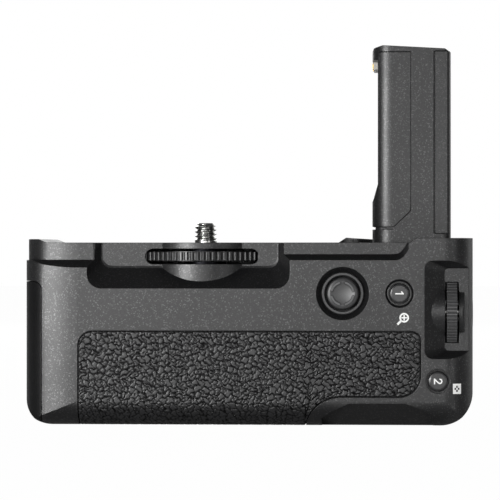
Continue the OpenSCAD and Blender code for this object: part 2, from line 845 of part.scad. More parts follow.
module top_cover() {
    skirt_end = recess_left + 1.55;
    color(charcoal) difference() {
        union() {
            along_z(z_cover, 0) deck_plan(seam);
            block([cap_x, y_skirt, -skirt_left_h], [skirt_end, y_skirt + skirt_t, 0]);
            block([cap_x, y_skirt, -skirt_left_h], [crown_x, y_skirt + 2 * skirt_t, 0]);
            intersection() {
                along_z(-skirt_left_h, rim_left_h)
                    rounded_rect(x_left + cover_inset, y_skirt, cap_x + wall + over,
                    front_reach - cover_inset, [0, 0, 0, upright_r - cover_inset]);
                along_y(y_rear, front_reach) skyline(0);
                difference() {
                    block([x_left, y_rear, -9], [cap_x + wall + over, front_reach, 9]);
                    block([cap_x + wall, y_skirt + skirt_t, -9], [0, front_reach, z_cover]);
                    block([cap_x + wall - over, front_reach - wall - seam, -9], [0, front_reach, 9]);
                }
            }
            intersection() {
                along_y(y_skirt, y_skirt + skirt_t) skirt_right_outline();
                block([skirt_right_x, -30, -9], [ramp_top_x, 0, 0]);
            }
            for (p = post_at) rod_z(plate_top, z_cover, p[0], p[1], post_r);
        }
        block([lip_x - 0.3, tower_y0 - 0.3, -9], [rim_x + over, tower_y1 + 0.3, 9]);
        rod_z(-9, 9, 0, 0, shoulder_r + run_gap);
        along_z(-9, 9) crown_cut(x_left + cover_inset, y_skirt, crown_r - y_skirt + y_rear, upright_r);
        along_z(-pad_t, 9) pad_plan(seam);
        for (p = post_at) rod_z(plate_top - over, plate_top + 4, p[0], p[1], post_screw_r + fit_gap);
    }
}

// Rubber sheet on the deck, seen from above, grown by g
module pad_plan(g) {
    difference() {
        soft_rect(x_left + 13 - g, recess_y + 3.5 - g, tower_x - 16.3 + g, front_reach - 6 + g, 4);
        circle(7 - g);
    }
}

module deck_pad() {
    color(rubber_black) along_z(-pad_t, 0) pad_plan(0);
}

module rear_grip_rubber() {
    color(rubber_black) intersection() {
        skin(0, rubber_t);
        rear_rubber_zone(0);
    }
}

module front_grip_rubber() {
    color(rubber_black) intersection() {
        skin(0, rubber_t);
        front_rubber_zone(0);
    }
}

// The tower seen from behind: flared foot, lip at the top left, eased top edges
module tower_outline() {
    lip_z = tower_h - 4.2;
    polygon([[lip_x, z_cover], [lip_x, 11.4], [tower_x, 16.9], [tower_x, lip_z], [lip_x, lip_z],
        [lip_x, tower_h - 1.6], [lip_x + 0.5, tower_h - 0.7], [lip_x + 3, tower_h],
        [tower_r - 1.7, tower_h - 1],
        [tower_r, tower_h - 2.1], [tower_r, z_cover]]);
}

// The left cover seen from behind, grown by g: ends below at the slit and the diagonal seam
module tower_cover_outline(g) {
    polygon([[lip_x, 4.6 - g], [tower_x + 4.6, 4.6 - g], [cover_x + g, 9.3 - g],
        [cover_x + g, tower_h - 2 + g],
        [tower_x + 0.6 - g, tower_h - 2 + g], [tower_x + 0.6 - g, 17.2], [lip_x, 11.7]]);
}

module tower_strip_outline(g) {
    translate([strip_x - g, 2.7 - g]) square([tower_r - strip_x + over, tower_h - 4.5 + 2 * g]);
}

// The tower seen from above, with its rear left edge rolled, drawn d inside
module tower_plan(d) {
    rounded_rect(lip_x - 0.01 + d, tower_y0 + d, tower_r, tower_y1,
        [tower_roll - d, tower_round, tower_round, 0.8]);
}

// The left cover's skin on the tower, from depth a to depth b
module tower_cover_skin(a, b, g) {
    intersection() {
        along_y(tower_y0 - over, tower_y0 + tower_roll + over) tower_cover_outline(g);
        along_z(0, tower_h + over) difference() {
            tower_plan(a);
            tower_plan(b);
        }
    }
}

module tower_shell() {
    foot_z = z_cover - foot_t;
    color(charcoal) difference() {
        union() {
            intersection() {
                along_y(tower_y0, tower_y1) tower_outline();
                along_z(z_cover, tower_h + over) tower_plan(0);
            }
            along_z(foot_z, z_cover) soft_rect(lip_x - foot_out, tower_y0 - 1.2, rim_x, tower_y1 + foot_out,
                1.5);
        }
        block([tower_x + tower_wall, tower_y0 + tower_wall + skin_t, foot_z - over],
            [tower_r - tower_wall - skin_t, tower_y1 - tower_wall, tower_h - 2.4]);
        tower_cover_skin(-over, skin_t - 0.2, seam);
        along_y(tower_y0 - over, tower_y0 + skin_t + 0.2) tower_strip_outline(seam);
        block([lip_x - over, tower_y0 - over, 3.8], [tower_x + 4.6, tower_y0 + tower_groove, 4.7]);
        block([lip_x - over, tower_y0 - over, 3.8], [lip_x + tower_groove, tower_y1 + over, 4.7]);
        along_y(tower_y0 - over, tower_y0 + 0.5) translate([strip_x - 0.5, 2.7]) square([0.6, tower_h - 4.5]);
        block([lip_x - over, terminal_y0 - seam, tower_h - 6.3 - seam],
            [tower_x + tower_wall + over, terminal_y0 + terminal_w + seam, tower_h - 4.2]);
    }
}

module tower_left_cover() {
    color(charcoal) tower_cover_skin(-0.2, skin_t - 0.2, 0);
}

module tower_side_panel() {
    color(charcoal) intersection() {
        along_y(tower_y0 + 0.35, tower_y0 + skin_t + 0.2) tower_strip_outline(0);
        along_z(0, tower_h) rounded_rect(lip_x, tower_y0, tower_r, tower_y1, [0, tower_round, 0, 0]);
    }
}

module terminal_block() {
    color("#c9c9c4") block([lip_x + 0.2, terminal_y0, tower_h - 6.3],
        [tower_x + 6, terminal_y0 + terminal_w, tower_h - 4.2]);
}

module tower_contacts() {
    color(brass) for (i = [0 : 2])
        block([lip_x + 0.2 - contact_t, terminal_y0 + 2 + i * 5, tower_h - 6],
            [lip_x + 0.2, terminal_y0 + 4 + i * 5, tower_h - 4.5]);
}

module lock_wheel() {
    color("#242526") difference() {
        union() {
            along_z(wheel_bottom + wheel_rim, wheel_top - wheel_rim) knurled_disc(wheel_r, wheel_teeth, 0.55);
            rod_z(wheel_bottom, wheel_top, 0, 0, wheel_r - 0.6);
        }
        rod_z(wheel_bottom - over, wheel_top + over, 0, 0, shank_r + fit_gap);
    }
}

module camera_screw() {
    clip_z = plate_bottom - 0.3;
    color(steel) rotate_extrude() polygon([[0, clip_z - 1.2], [pilot_r, clip_z - 1.2],
        [pilot_r, clip_z - clip_t],
        [pilot_r - 0.4, clip_z - clip_t], [pilot_r - 0.4, clip_z], [pilot_r, clip_z], [pilot_r, wheel_bottom],
        [shank_r, wheel_bottom], [shank_r, wheel_top], [6, wheel_top], [6, wheel_top + 0.5],
        [shoulder_r, wheel_top + 0.5], [shoulder_r, 0], [screw_r, 0], [screw_r, screw_h - 0.8],
        [screw_r - 0.8, screw_h], [0, screw_h]]);
}

module wave_washer() {
    color(steel) along_z(plate_top, wheel_bottom - 0.3) difference() {
        circle(6);
        circle(pilot_r + 0.5);
    }
}

module retaining_clip() {
    clip_z = plate_bottom - 0.3;
    color(steel) along_z(clip_z - clip_t + 0.02, clip_z - 0.02) difference() {
        circle(4.5);
        circle(pilot_r - 0.4 + fit_gap);
        translate([0, -1.2]) square([6, 2.4]);
    }
}

module chassis_plate() {
    color("#8d9094") difference() {
        union() {
            along_z(plate_bottom, plate_top) soft_rect(-plate_half, plate_rear, plate_half, plate_front, 3);
            for (p = standoff_at) rod_z(board_top, plate_bottom, p[0], p[1], 1.5);
        }
        rod_z(plate_bottom - over, plate_top + over, 0, 0, pilot_r + run_gap);
        for (p = post_at) rod_z(plate_bottom - over, plate_top + over, p[0], p[1], post_screw_r + fit_gap);
    }
}

// A small screw standing on (x, y): head from z0 up or down to z1, shank on to z2
module small_screw(x, y, z0, z1, z2, head_r, shank) {
    rod_z(min(z0, z1), max(z0, z1), x, y, head_r);
    rod_z(min(z1, z2), max(z1, z2), x, y, shank);
}

module chassis_screws() {
    color(steel) for (p = post_at)
        small_screw(p[0], p[1], plate_bottom - 1, plate_bottom, plate_top + 3.5, 1.8, post_screw_r);
}

module main_board() {
    color(board_green) difference() {
        block([-plate_half, plate_rear + over, board_top - board_t], [tower_x + 7, plate_front, board_top]);
        for (p = post_at) rod_z(board_top - board_t - over, board_top + over, p[0], p[1], 2.1);
    }
}

module flex_cable() {
    color("#a4662c") block([tower_x + 4.7, terminal_y0 + 4, board_top],
        [tower_x + 5, terminal_y0 + terminal_w - 4, tower_h - 6.3]);
}

module tripod_plate() {
    color(steel) along_z(z_floor, z_floor + tripod_plate_t) difference() {
        soft_rect(-tripod_half, tripod_rear, tripod_half, tripod_front, 3);
        translate([0, socket_y]) circle(bush_r + fit_gap);
        for (p = case_screw_at) translate(p) circle(screw_shank_r + fit_gap);
    }
}

module tripod_bush() {
    seat = z_floor + tripod_plate_t;
    color(steel) translate([0, socket_y, 0]) rotate_extrude() polygon([[socket_r, z_base], [bush_r, z_base],
        [bush_r, seat], [bush_r + 2, seat], [bush_r + 2, seat + 0.8], [bush_r, seat + 0.8],
        [bush_r, z_base + socket_l], [socket_r, z_base + socket_l]]);
}

module case_screws() {
    color(steel) for (p = case_screw_at) small_screw(p[0], p[1], z_base + 0.1, z_base + screw_head_h,
        z_floor + tripod_plate_t + 0.6, screw_head_r - 0.1, screw_shank_r);
}

// Turns a piece revolved about Z so that its outer end points back, with height 0 on the rear face
module on_rear(x, z) {
    translate([x, y_rear, z]) rotate([90, 0, 0]) rotate_extrude() children();
}

// Turns a piece revolved about Z so that its outer end points right, with height 0 on the right end
module on_end(y, z) {
    translate([x_right, y, z]) rotate([0, 90, 0]) rotate_extrude() children();
}

module stick_ring() {
    seat = y_rear - stick_seat_y;
    color("#4a4b4c") on_rear(stick_x, stick_z)
        polygon([[stick_ring_ri, seat - 0.6], [stick_flange_r, seat - 0.6],
        [stick_flange_r, seat], [stick_ring_r, seat], [stick_ring_r, -0.75], [stick_ring_r - 0.15, -0.6],
        [stick_ring_ri + 0.15, -0.6], [stick_ring_ri, -0.75]]);
}

module stick_housing() {
    floor_h = y_rear - panel_y;
    color("#1b1c1d") on_rear(stick_x, stick_z) polygon([[0, floor_h], [6.5, floor_h], [6.5, floor_h + 3.6],
        [carrier_r + run_gap, floor_h + 3.6], [carrier_r + run_gap, floor_h + 1], [0, floor_h + 1]]);
}

// Cup that slides in for the press; the gimbal's pins turn in its wall
module stick_carrier() {
    foot = y_rear - panel_y + 1 + stick_press + 0.1;
    rim = y_rear - pivot_y + 1;
    color("#d8d8d4") difference() {
        on_rear(stick_x, stick_z) polygon([[0, foot], [carrier_r, foot], [carrier_r, rim],
            [carrier_r - 0.7, rim],
            [carrier_r - 0.7, foot + 0.9], [0, foot + 0.9]]);
        rod_x(stick_x - 9, stick_x + 9, pivot_y, stick_z, pin_r + run_gap);
    }
}

// Ring that tilts about X in the carrier and lets the cap tilt about Z
module stick_gimbal() {
    color(steel) difference() {
        union() {
            rod_y(pivot_y - 0.6, pivot_y + 0.6, stick_x, stick_z, 3.4);
            rod_x(stick_x - carrier_r + 0.1, stick_x + carrier_r - 0.1, pivot_y, stick_z, pin_r);
        }
        rod_y(pivot_y - 1, pivot_y + 1, stick_x, stick_z, 2.4);
        rod_z(stick_z - 9, stick_z + 9, stick_x, pivot_y, pin_r + run_gap);
    }
}

module stick_cap() {
    stem_r = 1.5;
    dish_r = stick_cap_r - 1.2;
    dish = [for (i = [8 : -1 : 0]) [dish_r * i / 8, 0.7 + 0.5 * pow(i / 8, 2)]];
    color("#202122") {
        on_rear(stick_x, stick_z) polygon(concat([[0, y_rear - pivot_y - 1.2],
            [stem_r, y_rear - pivot_y - 1.2],
            [stem_r, -0.4], [stick_cap_r, -0.4], [stick_cap_r, 0.5], [stick_cap_r - 0.3, 1],
            [stick_cap_r - 0.9, 1.25]], dish));
        rod_z(stick_z - 3.2, stick_z + 3.2, stick_x, pivot_y, pin_r);
        translate([stick_x, y_rear, stick_z]) rotate([90, 0, 0]) translate([0, 0, 0.9]) linear_extrude(0.45)
            difference() {
            circle(stick_cap_r - 1);
            circle(stick_cap_r - 1.6);
            square([20, 1.2], center = true);
            square([1.2, 20], center = true);
        }
    }
}

// A round rear button: eased cap, keeper flange behind the wall, stem to its switch
module round_button(x, z) {
    keep = -wall - 0.3;
    color("#202122") on_rear(x, z) polygon([[0, y_rear - button_stem], [1.2, y_rear - button_stem],
        [1.2, keep - flange_t], [button_r + 0.6, keep - flange_t], [button_r + 0.6, keep], [button_r, keep],
        [button_r, -0.15], [button_r - 0.2, 0.2], [button_r - 0.6, 0.35], [0, 0.35]]);
}

module focus_button() {
    round_button(focus_x, focus_z);
}

module hold_button() {
    round_button(hold_x, hold_z);
}

module control_board() {
    color(board_green) block([stick_x - 10.5, panel_y, stick_z - 7],
        [focus_x + 7.3, panel_y + board_t, stick_z + 7]);
}

module hold_board() {
    color(board_green) block([hold_x - 3.4, panel_y, hold_z - 5],
        [hold_x + 5.4, panel_y + board_t, hold_z + 4]);
}

module tact_switches() {
    half = 2;
    face = end_board_x + end_board_t;
    color("#151617") {
        for (p = [[focus_x, focus_z], [hold_x, hold_z]])
            block([p[0] - half, panel_y - switch_h, p[1] - half], [p[0] + half, panel_y, p[1] + half]);
        for (p = [[shutter_y, shutter_z], [side_ys[0], side_z], [side_ys[1], side_z]])
            block([face, p[0] - half, p[1] - half], [face + end_switch_h, p[0] + half, p[1] + half]);
    }
}

// A control dial turning about X at (y, z)
module dial_wheel(y) {
    color("#242526") along_x(dial_x, dial_x + dial_w) translate([y, dial_z]) difference() {
        knurled_disc(dial_r, dial_teeth, 0.3);
        circle(shaft_r + fit_gap);
    }
}

module dial_shaft(y) {
    color(steel) rod_x(dial_x - ear_gap - ear_t - 2, dial_x + dial_w + ear_gap + 0.9, y, dial_z, shaft_r);
}

// Fixed encoder on the shaft's left end
module dial_encoder(y) {
    ear_x = dial_x - ear_gap - ear_t;
    color("#151617") along_x(ear_x - 2.2, ear_x) translate([y, dial_z]) difference() {
        circle(4);
        circle(shaft_r + run_gap);
    }
}

// One ear of a dial bracket: a round eye at the shaft and an arm that reaches (dy, dz) to the base
module ear_outline(y, dy, dz) {
    difference() {
        union() {
            translate([y, dial_z]) circle(3);
            translate([y + min(dy, 0) - (dy == 0 ? 3 : 0), dial_z + min(dz, 0) - (dz == 0 ? 3 : 0)])
                square([dy == 0 ? 6 : abs(dy), dz == 0 ? 6 : abs(dz)]);
        }
        translate([y, dial_z]) circle(shaft_r + run_gap);
    }
}

// Two ears and the base that joins them past the dial's edge; the base reaches the end wall
module dial_bracket(y, dy, dz) {
    base_t = 1;
    right = dial_x + dial_w + ear_gap;
    left = dial_x - ear_gap - ear_t;
    color("#8d9094") {
        along_x(left, left + ear_t) ear_outline(y, dy, dz);
        along_x(right, right + 1) ear_outline(y, dy, dz);
        along_x(left, inner_right) translate([y + (dy == 0 ? -5.5 : dy - base_t),
            dial_z + (dz == 0 ? -3 : dz)])
            square([dy == 0 ? 6 : base_t, dz == 0 ? 6 : base_t]);
    }
}

module rear_dial() {
    dial_wheel(rear_dial_y);
}

module rear_dial_shaft() {
    dial_shaft(rear_dial_y);
}

module rear_dial_bracket() {
    dial_bracket(rear_dial_y, dial_slot_r + 1.4, 0);
}

module rear_dial_encoder() {
    dial_encoder(rear_dial_y);
}

module front_dial() {
    dial_wheel(front_dial_y);
}

module front_dial_shaft() {
    dial_shaft(front_dial_y);
}

module front_dial_bracket() {
    dial_bracket(front_dial_y, 0, -dial_slot_r - 1.4);
}

module front_dial_encoder() {
    dial_encoder(front_dial_y);
}

module shutter_button() {
    tip = end_board_x + end_board_t + end_switch_h + shutter_travel + 0.1 - x_right;
    color("#2a2b2c") on_end(shutter_y, shutter_z) polygon([[0, tip], [2, tip], [2, -1.6], [shutter_r, -1.6],
        [shutter_r, 0], [shutter_r - 0.3, 0.4], [shutter_r - 0.9, 0.6], [1.5, 0.25], [0, 0.2]]);
}

// Guide tube of the shutter button, seated from inside on the dish's boss
module shutter_collar() {
    seat = -dish_depth - 1.6;
    color("#4a4b4c") on_end(shutter_y, shutter_z) polygon([[2.3, seat - 0.8], [collar_r + 1.2, seat - 0.8],
        [collar_r + 1.2, seat], [collar_r, seat], [collar_r, -0.4], [shutter_r + hole_gap, -0.4],
        [shutter_r + hole_gap, seat + 1], [2.3, seat + 1]]);
}

// Ring lever round the shutter button, with a thumb ridge on its face
module power_lever() {
    inner = collar_r + 0.3;
    color("#242526") {
        along_x(dish_floor + 0.3, x_right - 0.1) translate([shutter_y, shutter_z]) difference() {
            circle(lever_r);
            circle(inner);
        }
        along_x(x_right - 0.1, x_right + 0.5) translate([shutter_y, shutter_z])
            intersection() {
                difference() {
                    circle(lever_r - 0.2);
                    circle(inner + 0.2);
                }
                translate([0, -1.4]) square([lever_r, 2.8]);
            }
    }
}

module side_button(y) {
    keep = -wall - 0.3;
    tip = end_board_x + end_board_t + end_switch_h + button_travel + 0.2 - x_right;
    color("#202122") on_end(y, side_z) polygon([[0, tip], [1.2, tip], [1.2, keep - flange_t],
        [side_r + 0.7, keep - flange_t], [side_r + 0.7, keep], [side_r, keep], [side_r, -0.1],
        [side_r - 0.4, 0.3], [0, 0.3]]);
}

module side_button_upper() {
    side_button(side_ys[1]);
}

module side_button_lower() {
    side_button(side_ys[0]);
}

module end_board() {
    color(board_green) block([end_board_x, end_board_y, end_board_base],
        [end_board_x + end_board_t, end_board_y + end_board_w, end_board_top]);
}

// Spring contacts in the housing that meet the magazine's end
module contact_block() {
    color("#151617") block([tray_end + 1.1, shutter_y - 6, contact_z - 4],
        [end_board_x, shutter_y + 6, contact_z + 4]);
}

module contact_pins() {
    color(brass) for (i = [0 : 3])
        rod_x(tray_end + contact_t + 0.3, tray_end + 1.1, shutter_y - 4.5 + 3 * i, contact_z, 0.6);
}

module magazine_contacts() {
    color(brass) for (i = [0 : 3]) block([tray_end, shutter_y - 5.5 + 3 * i, contact_z - 2],
        [tray_end + contact_t, shutter_y - 3.5 + 3 * i, contact_z + 2]);
}

// Open-topped tray with a bay for each pack and finger notches in its side walls
module magazine_tray() {
    color("#1f2021") difference() {
        along_x(cap_x - seam, tray_end) rounded_rect(tray_y0, tray_z0, tray_y1, tray_z1, [1, 1, 0, 0]);
        for (x = bay_x) {
            block([x, tray_y0 + tray_wall, pack_z0], [x + bay_l, tray_y1 - tray_wall, tray_z1 + over]);
            rod_y(tray_y0 - over, tray_y1 + over, x + bay_l / 2, tray_z1, notch_r);
        }
    }
}

module bay_springs() {
    color(steel) for (x = bay_x)
        block([x, knob_y - 6, pack_z0 + 4], [x + 0.8 * pack_play, knob_y + 6, pack_z0 + 14]);
}

// Left end of the grip: closes the housing and carries the lock
module magazine_end_cap() {
    color(charcoal) difference() {
        intersection() {
            body_form(0);
            cap_zone(seam);
        }
        rod_x(x_left - over, x_left + knob_depth, knob_y, knob_z, knob_r + hole_gap);
        rod_x(x_left, cap_x, knob_y, knob_z, knob_shaft_r + run_gap);
        rod_x(cap_x - seam - cam_room, cap_x, knob_y, knob_z, cam_r + hole_gap);
    }
}

// Round knob sunk in the cap, with a finger bar across it
module lock_knob() {
    color("#242526") {
        rod_x(x_left + knob_plate, x_left + knob_depth - 0.3, knob_y, knob_z, knob_r);
        intersection() {
            rod_x(x_left + 0.1, x_left + knob_plate, knob_y, knob_z, knob_r - 0.3);
            block([x_left, knob_y - knob_r, knob_z - 1.5], [x_left + 2, knob_y + knob_r, knob_z + 1.5]);
        }
        rod_x(x_left + knob_depth - 0.3, cap_x - seam - 0.3, knob_y, knob_z, knob_shaft_r);
    }
}

// Cam on the knob's shaft, inside the cap
module lock_cam() {
    color(steel) along_x(cap_x - seam - cam_room + 0.3, cap_x - seam - 0.5) translate([knob_y, knob_z])
        difference() {
        intersection() {
            circle(cam_r);
            union() {
                circle(3.6);
                translate([-2, 0]) square([4, cam_r]);
            }
        }
        circle(knob_shaft_r + fit_gap);
    }
}

rear_shell();
front_shell();
base_plate();
top_cover();
rear_grip_rubber();
front_grip_rubber();
deck_pad();
tower_shell();
tower_left_cover();
tower_side_panel();
terminal_block();
tower_contacts();
lock_wheel();
camera_screw();
wave_washer();
retaining_clip();
chassis_plate();
chassis_screws();
main_board();
flex_cable();
tripod_plate();
tripod_bush();
case_screws();
stick_ring();
stick_housing();
stick_carrier();
stick_gimbal();
stick_cap();
focus_button();
hold_button();
control_board();
hold_board();
tact_switches();
rear_dial();
rear_dial_shaft();
rear_dial_bracket();
rear_dial_encoder();
front_dial();
front_dial_shaft();
front_dial_bracket();
front_dial_encoder();
shutter_button();
shutter_collar();
power_lever();
side_button_upper();
side_button_lower();
end_board();
contact_block();
contact_pins();
magazine_tray();
magazine_end_cap();
magazine_contacts();
bay_springs();
lock_knob();
lock_cam();
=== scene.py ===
# %% [markdown]
# # A battery grip, dressed for a studio picture
# The object is the grip that screws under a mirrorless camera and holds two batteries. Its shapes
# and joints come from the imported solids. This script gives it what solids leave out: a cut thread,
# the pebbled rubber, printed signs, and surfaces that answer light as moulded plastic does.
#
# The frame is loaded first, and its box is kept: the floor is laid at its bottom.

# %% Load the frame
import math

import bpy
import numpy as np
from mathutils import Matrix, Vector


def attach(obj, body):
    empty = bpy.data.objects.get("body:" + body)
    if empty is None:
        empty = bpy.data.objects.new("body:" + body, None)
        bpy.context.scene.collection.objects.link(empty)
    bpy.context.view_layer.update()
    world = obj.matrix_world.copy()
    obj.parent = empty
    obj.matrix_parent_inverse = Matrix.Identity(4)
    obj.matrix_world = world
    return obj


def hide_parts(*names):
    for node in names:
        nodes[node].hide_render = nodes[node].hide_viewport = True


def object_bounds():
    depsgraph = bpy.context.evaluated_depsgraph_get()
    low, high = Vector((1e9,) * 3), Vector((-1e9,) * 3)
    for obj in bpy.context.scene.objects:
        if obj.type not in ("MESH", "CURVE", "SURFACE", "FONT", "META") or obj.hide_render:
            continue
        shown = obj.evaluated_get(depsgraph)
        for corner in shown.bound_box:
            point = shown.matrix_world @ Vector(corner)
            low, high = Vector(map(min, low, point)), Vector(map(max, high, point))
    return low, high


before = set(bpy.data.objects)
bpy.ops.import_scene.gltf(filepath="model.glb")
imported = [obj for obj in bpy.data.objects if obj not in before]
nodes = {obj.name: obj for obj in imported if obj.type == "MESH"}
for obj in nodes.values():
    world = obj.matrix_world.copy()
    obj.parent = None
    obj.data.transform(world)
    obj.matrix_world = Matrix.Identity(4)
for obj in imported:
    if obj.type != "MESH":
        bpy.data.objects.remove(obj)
cad_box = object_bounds()
MM = 0.001

# %% [markdown]
# ## Where the camera stands
# The photograph is a catalogue picture taken from far off with a long lens, square on and only 3.4
# degrees round to the right, so the grip's own edges stay parallel. A camera could be aimed by eye;
# here it is placed from the turn, the distance and the scale at the rear face, all in millimetres.

# %% Camera
IMAGE_PX = 500
SENSOR_MM = 36.0
camera_turn = math.radians(3.4)
camera_far = 800.0
focal_px = 2739.7
aim = np.array([12.94, 0.0, -2.14])

camera_data = bpy.data.cameras.new("studio_camera")
camera_data.sensor_width = SENSOR_MM
camera_data.lens = focal_px / IMAGE_PX * SENSOR_MM
camera_data.clip_start = 0.01
camera_data.clip_end = 20.0
camera = bpy.data.objects.new("studio_camera", camera_data)
forward = np.array([-math.sin(camera_turn), math.cos(camera_turn), 0.0])
camera.location = (aim - camera_far * forward) * MM
camera.rotation_euler = (math.pi / 2, 0.0, camera_turn)
bpy.context.collection.objects.link(camera)
bpy.context.scene.camera = camera
bpy.context.scene.view_settings.view_transform = "Standard"
print("lens of", round(camera_data.lens, 1), "mm at", camera_far, "mm")

# %% [markdown]
# ## One way to write colours and nodes
# Colours are written as a painter would pick them on a screen, as sRGB hex values, and a shader works
# in linear light, so one function turns the one into the other. Materials are small graphs. They can
# be clicked together in the editor; in a script, one helper that adds a node with its settings and
# its links keeps each graph readable from top to bottom.

# %% Colour and node helpers
def linear(hex_colour):
    """sRGB hex to linear RGBA: c / 12.92 below 0.04045, else ((c + 0.055) / 1.055) to the power 2.4."""
    c = np.array([int(hex_colour[i:i + 2], 16) for i in (1, 3, 5)]) / 255.0
    c = np.where(c <= 0.04045, c / 12.92, ((c + 0.055) / 1.055) ** 2.4)
    return (*c.tolist(), 1.0)


def add(tree, kind, links=None, values=None, **settings):
    """Adds one node: settings are its own properties, values its sockets, links what feeds its sockets."""
    n = tree.nodes.new(kind)
    for key, value in settings.items():
        setattr(n, key, value)
    for key, value in (values or {}).items():
        n.inputs[key].default_value = value
    for key, source in (links or {}).items():
        tree.links.new(source, n.inputs[key])
    return n


def start_material(name):
    """An empty material with its output, its surface shader and its Object coordinates."""
    m = bpy.data.materials.new(name)
    m.use_nodes = True
    t = m.node_tree
    t.nodes.clear()
    shader = add(t, "ShaderNodeBsdfPrincipled")
    add(t, "ShaderNodeOutputMaterial", {"Surface": shader.outputs["BSDF"]})
    place = add(t, "ShaderNodeTexCoord").outputs["Object"]
    return m, t, shader, place


print("helpers ready")

# %% [markdown]
# ## Moulded plastic
# The housing is glass-filled polycarbonate, moulded in a spark-eroded tool. The tool leaves a fine
# even grain, so the plastic is charcoal instead of black, shines softly, and glitters a little where
# single grains catch the lamp. A picture of that grain could be wrapped round the part, but a noise
# in Object coordinates needs no unwrapping and runs on across every edge.
#
# The real grain is about 0.1 mm. A pixel of the photograph is 0.29 mm, so it is drawn at 0.3 mm.

# %% Moulded plastics
CLOUD_MM, GLINT_MM, GRAIN_HIGH_MM = 18, 0.28, 0.05
PLASTIC_IOR = 1.58


def moulded_plastic(name, dark, pale, roughness, grain_mm, bump, edge_mm=0.25, specular=0.5, glint=0.0,
                    painted_shade_mm=0.0):
    """Two close greys mixed by grain noise, slow clouds in the gloss, and edges softened by a bevel normal.
    A glint is a grain that mirrors more: the share glint of the grains does, each by its own strength.
    Where a foot distance is given, the foot of a raised edge is darkened that far out in colour and shine:
    painted shade."""
    m, t, shader, place = start_material(name)
    grain = add(t, "ShaderNodeTexNoise", {"Vector": place},
                {"Scale": 1.0 / (grain_mm * MM), "Detail": 2.0, "Roughness": 0.6})
    spread = add(t, "ShaderNodeMapRange", {"Value": grain.outputs["Fac"]},
                 {"From Min": 0.32, "From Max": 0.68})
    tint = add(t, "ShaderNodeMix", {0: spread.outputs["Result"]}, {6: linear(dark), 7: linear(pale)},
               data_type="RGBA")
    clouds = add(t, "ShaderNodeTexNoise", {"Vector": place}, {"Scale": 1.0 / (CLOUD_MM * MM), "Detail": 3.0})
    gloss = add(t, "ShaderNodeMapRange", {"Value": clouds.outputs["Fac"]},
                {"From Min": 0.3, "From Max": 0.7, "To Min": roughness - 0.03, "To Max": roughness + 0.03})
    edge = add(t, "ShaderNodeBevel", None, {"Radius": edge_mm * MM}, samples=6)
    rough = add(t, "ShaderNodeBump", {"Height": grain.outputs["Fac"], "Normal": edge.outputs["Normal"]},
                {"Strength": bump, "Distance": GRAIN_HIGH_MM * MM})
    shader.inputs["Specular IOR Level"].default_value = specular
    if glint:
        cell = add(t, "ShaderNodeTexVoronoi", {"Vector": place}, {"Scale": 1.0 / (GLINT_MM * MM)}).outputs
        chance = add(t, "ShaderNodeSeparateColor", {"Color": cell["Color"]}).outputs
        chosen = add(t, "ShaderNodeMath", {0: chance["Red"]}, {1: 1.0 - glint}, operation="GREATER_THAN")
        strong = add(t, "ShaderNodeMath", {0: chosen.outputs["Value"], 1: chance["Green"]},
                     operation="MULTIPLY")
        shine = add(t, "ShaderNodeMapRange", {"Value": strong.outputs["Value"]},
                    {"To Min": specular, "To Max": 1.0})
        t.links.new(shine.outputs["Result"], shader.inputs["Specular IOR Level"])
    # Painted shade: ambient occlusion darkens the colour towards near black and cuts the shine at the foot of
    # raised edges.
    if painted_shade_mm:
        hollow = add(t, "ShaderNodeAmbientOcclusion", None, {"Distance": painted_shade_mm * MM}, samples=8,
                     only_local=True)
        unshaded_share = add(t, "ShaderNodeMapRange", {"Value": hollow.outputs["AO"]},
                         {"From Min": 0.55, "From Max": 0.95})
        shine = add(t, "ShaderNodeMath", {0: unshaded_share.outputs["Result"]}, {1: specular},
                    operation="MULTIPLY")
        tint = add(t, "ShaderNodeMix", {0: unshaded_share.outputs["Result"], 7: tint.outputs[2]},
                   {6: linear("#050505")}, data_type="RGBA")
        t.links.new(shine.outputs["Value"], shader.inputs["Specular IOR Level"])
    t.links.new(tint.outputs[2], shader.inputs["Base Color"])
    t.links.new(gloss.outputs["Result"], shader.inputs["Roughness"])
    t.links.new(rough.outputs["Normal"], shader.inputs["Normal"])
    shader.inputs["IOR"].default_value = PLASTIC_IOR
    return m


# Grained polycarbonate: soft charcoal with a faint glitter.
housing_plastic = moulded_plastic("grained_polycarbonate", "#0a0a0b", "#1e1e1f", 0.38, 0.30, 0.6,
                                  glint=0.18)
# The same polymer on the end cap, drawn blacker and duller.
cap_plastic = moulded_plastic("dull_polycarbonate", "#060607", "#121213", 0.38, 0.30, 0.6, specular=0.22)
# Polished-tool ABS of the keys: smoother, so it is a little brighter where it is lit.
key_plastic = moulded_plastic("smooth_moulded_abs", "#2a2a2b", "#343435", 0.34, 0.30, 0.15, 0.12)
# The same ABS on the knurled thumbwheel, drawn darker: only its tooth tops are bright.
knurled_plastic = moulded_plastic("knurled_black_abs", "#0e0e0f", "#161617", 0.3, 0.30, 0.2, 0.12, 0.36)
# Matt ABS of the stick's thumb cap and the dials: the palest of the black pieces, with painted shade at the
# foot of its raised edges.
stick_plastic = moulded_plastic("matt_moulded_abs", "#343435", "#404041", 0.44, 0.30, 0.3, 0.1, 0.85,
                                painted_shade_mm=0.45)
# Plain black nylon of hidden carriers and blocks.
nylon = moulded_plastic("black_nylon", "#131314", "#1b1b1c", 0.5, 0.35, 0.3)
# Closed-cell foam of the deck pad: dead matt, so that the camera's base doesn't slide or shine on it.
pad_foam = moulded_plastic("closed_cell_foam", "#0b0b0b", "#151515", 0.85, 0.45, 0.5, specular=0.08)
# Natural PBT of the terminal block: cream, a little waxy.
pale_pbt = moulded_plastic("natural_pbt", "#b9b7b0", "#cbc9c2", 0.42, 0.35, 0.15)
print("plastics:", [m.name for m in (housing_plastic, cap_plastic, key_plastic, knurled_plastic,
                                     stick_plastic, nylon, pad_foam, pale_pbt)])

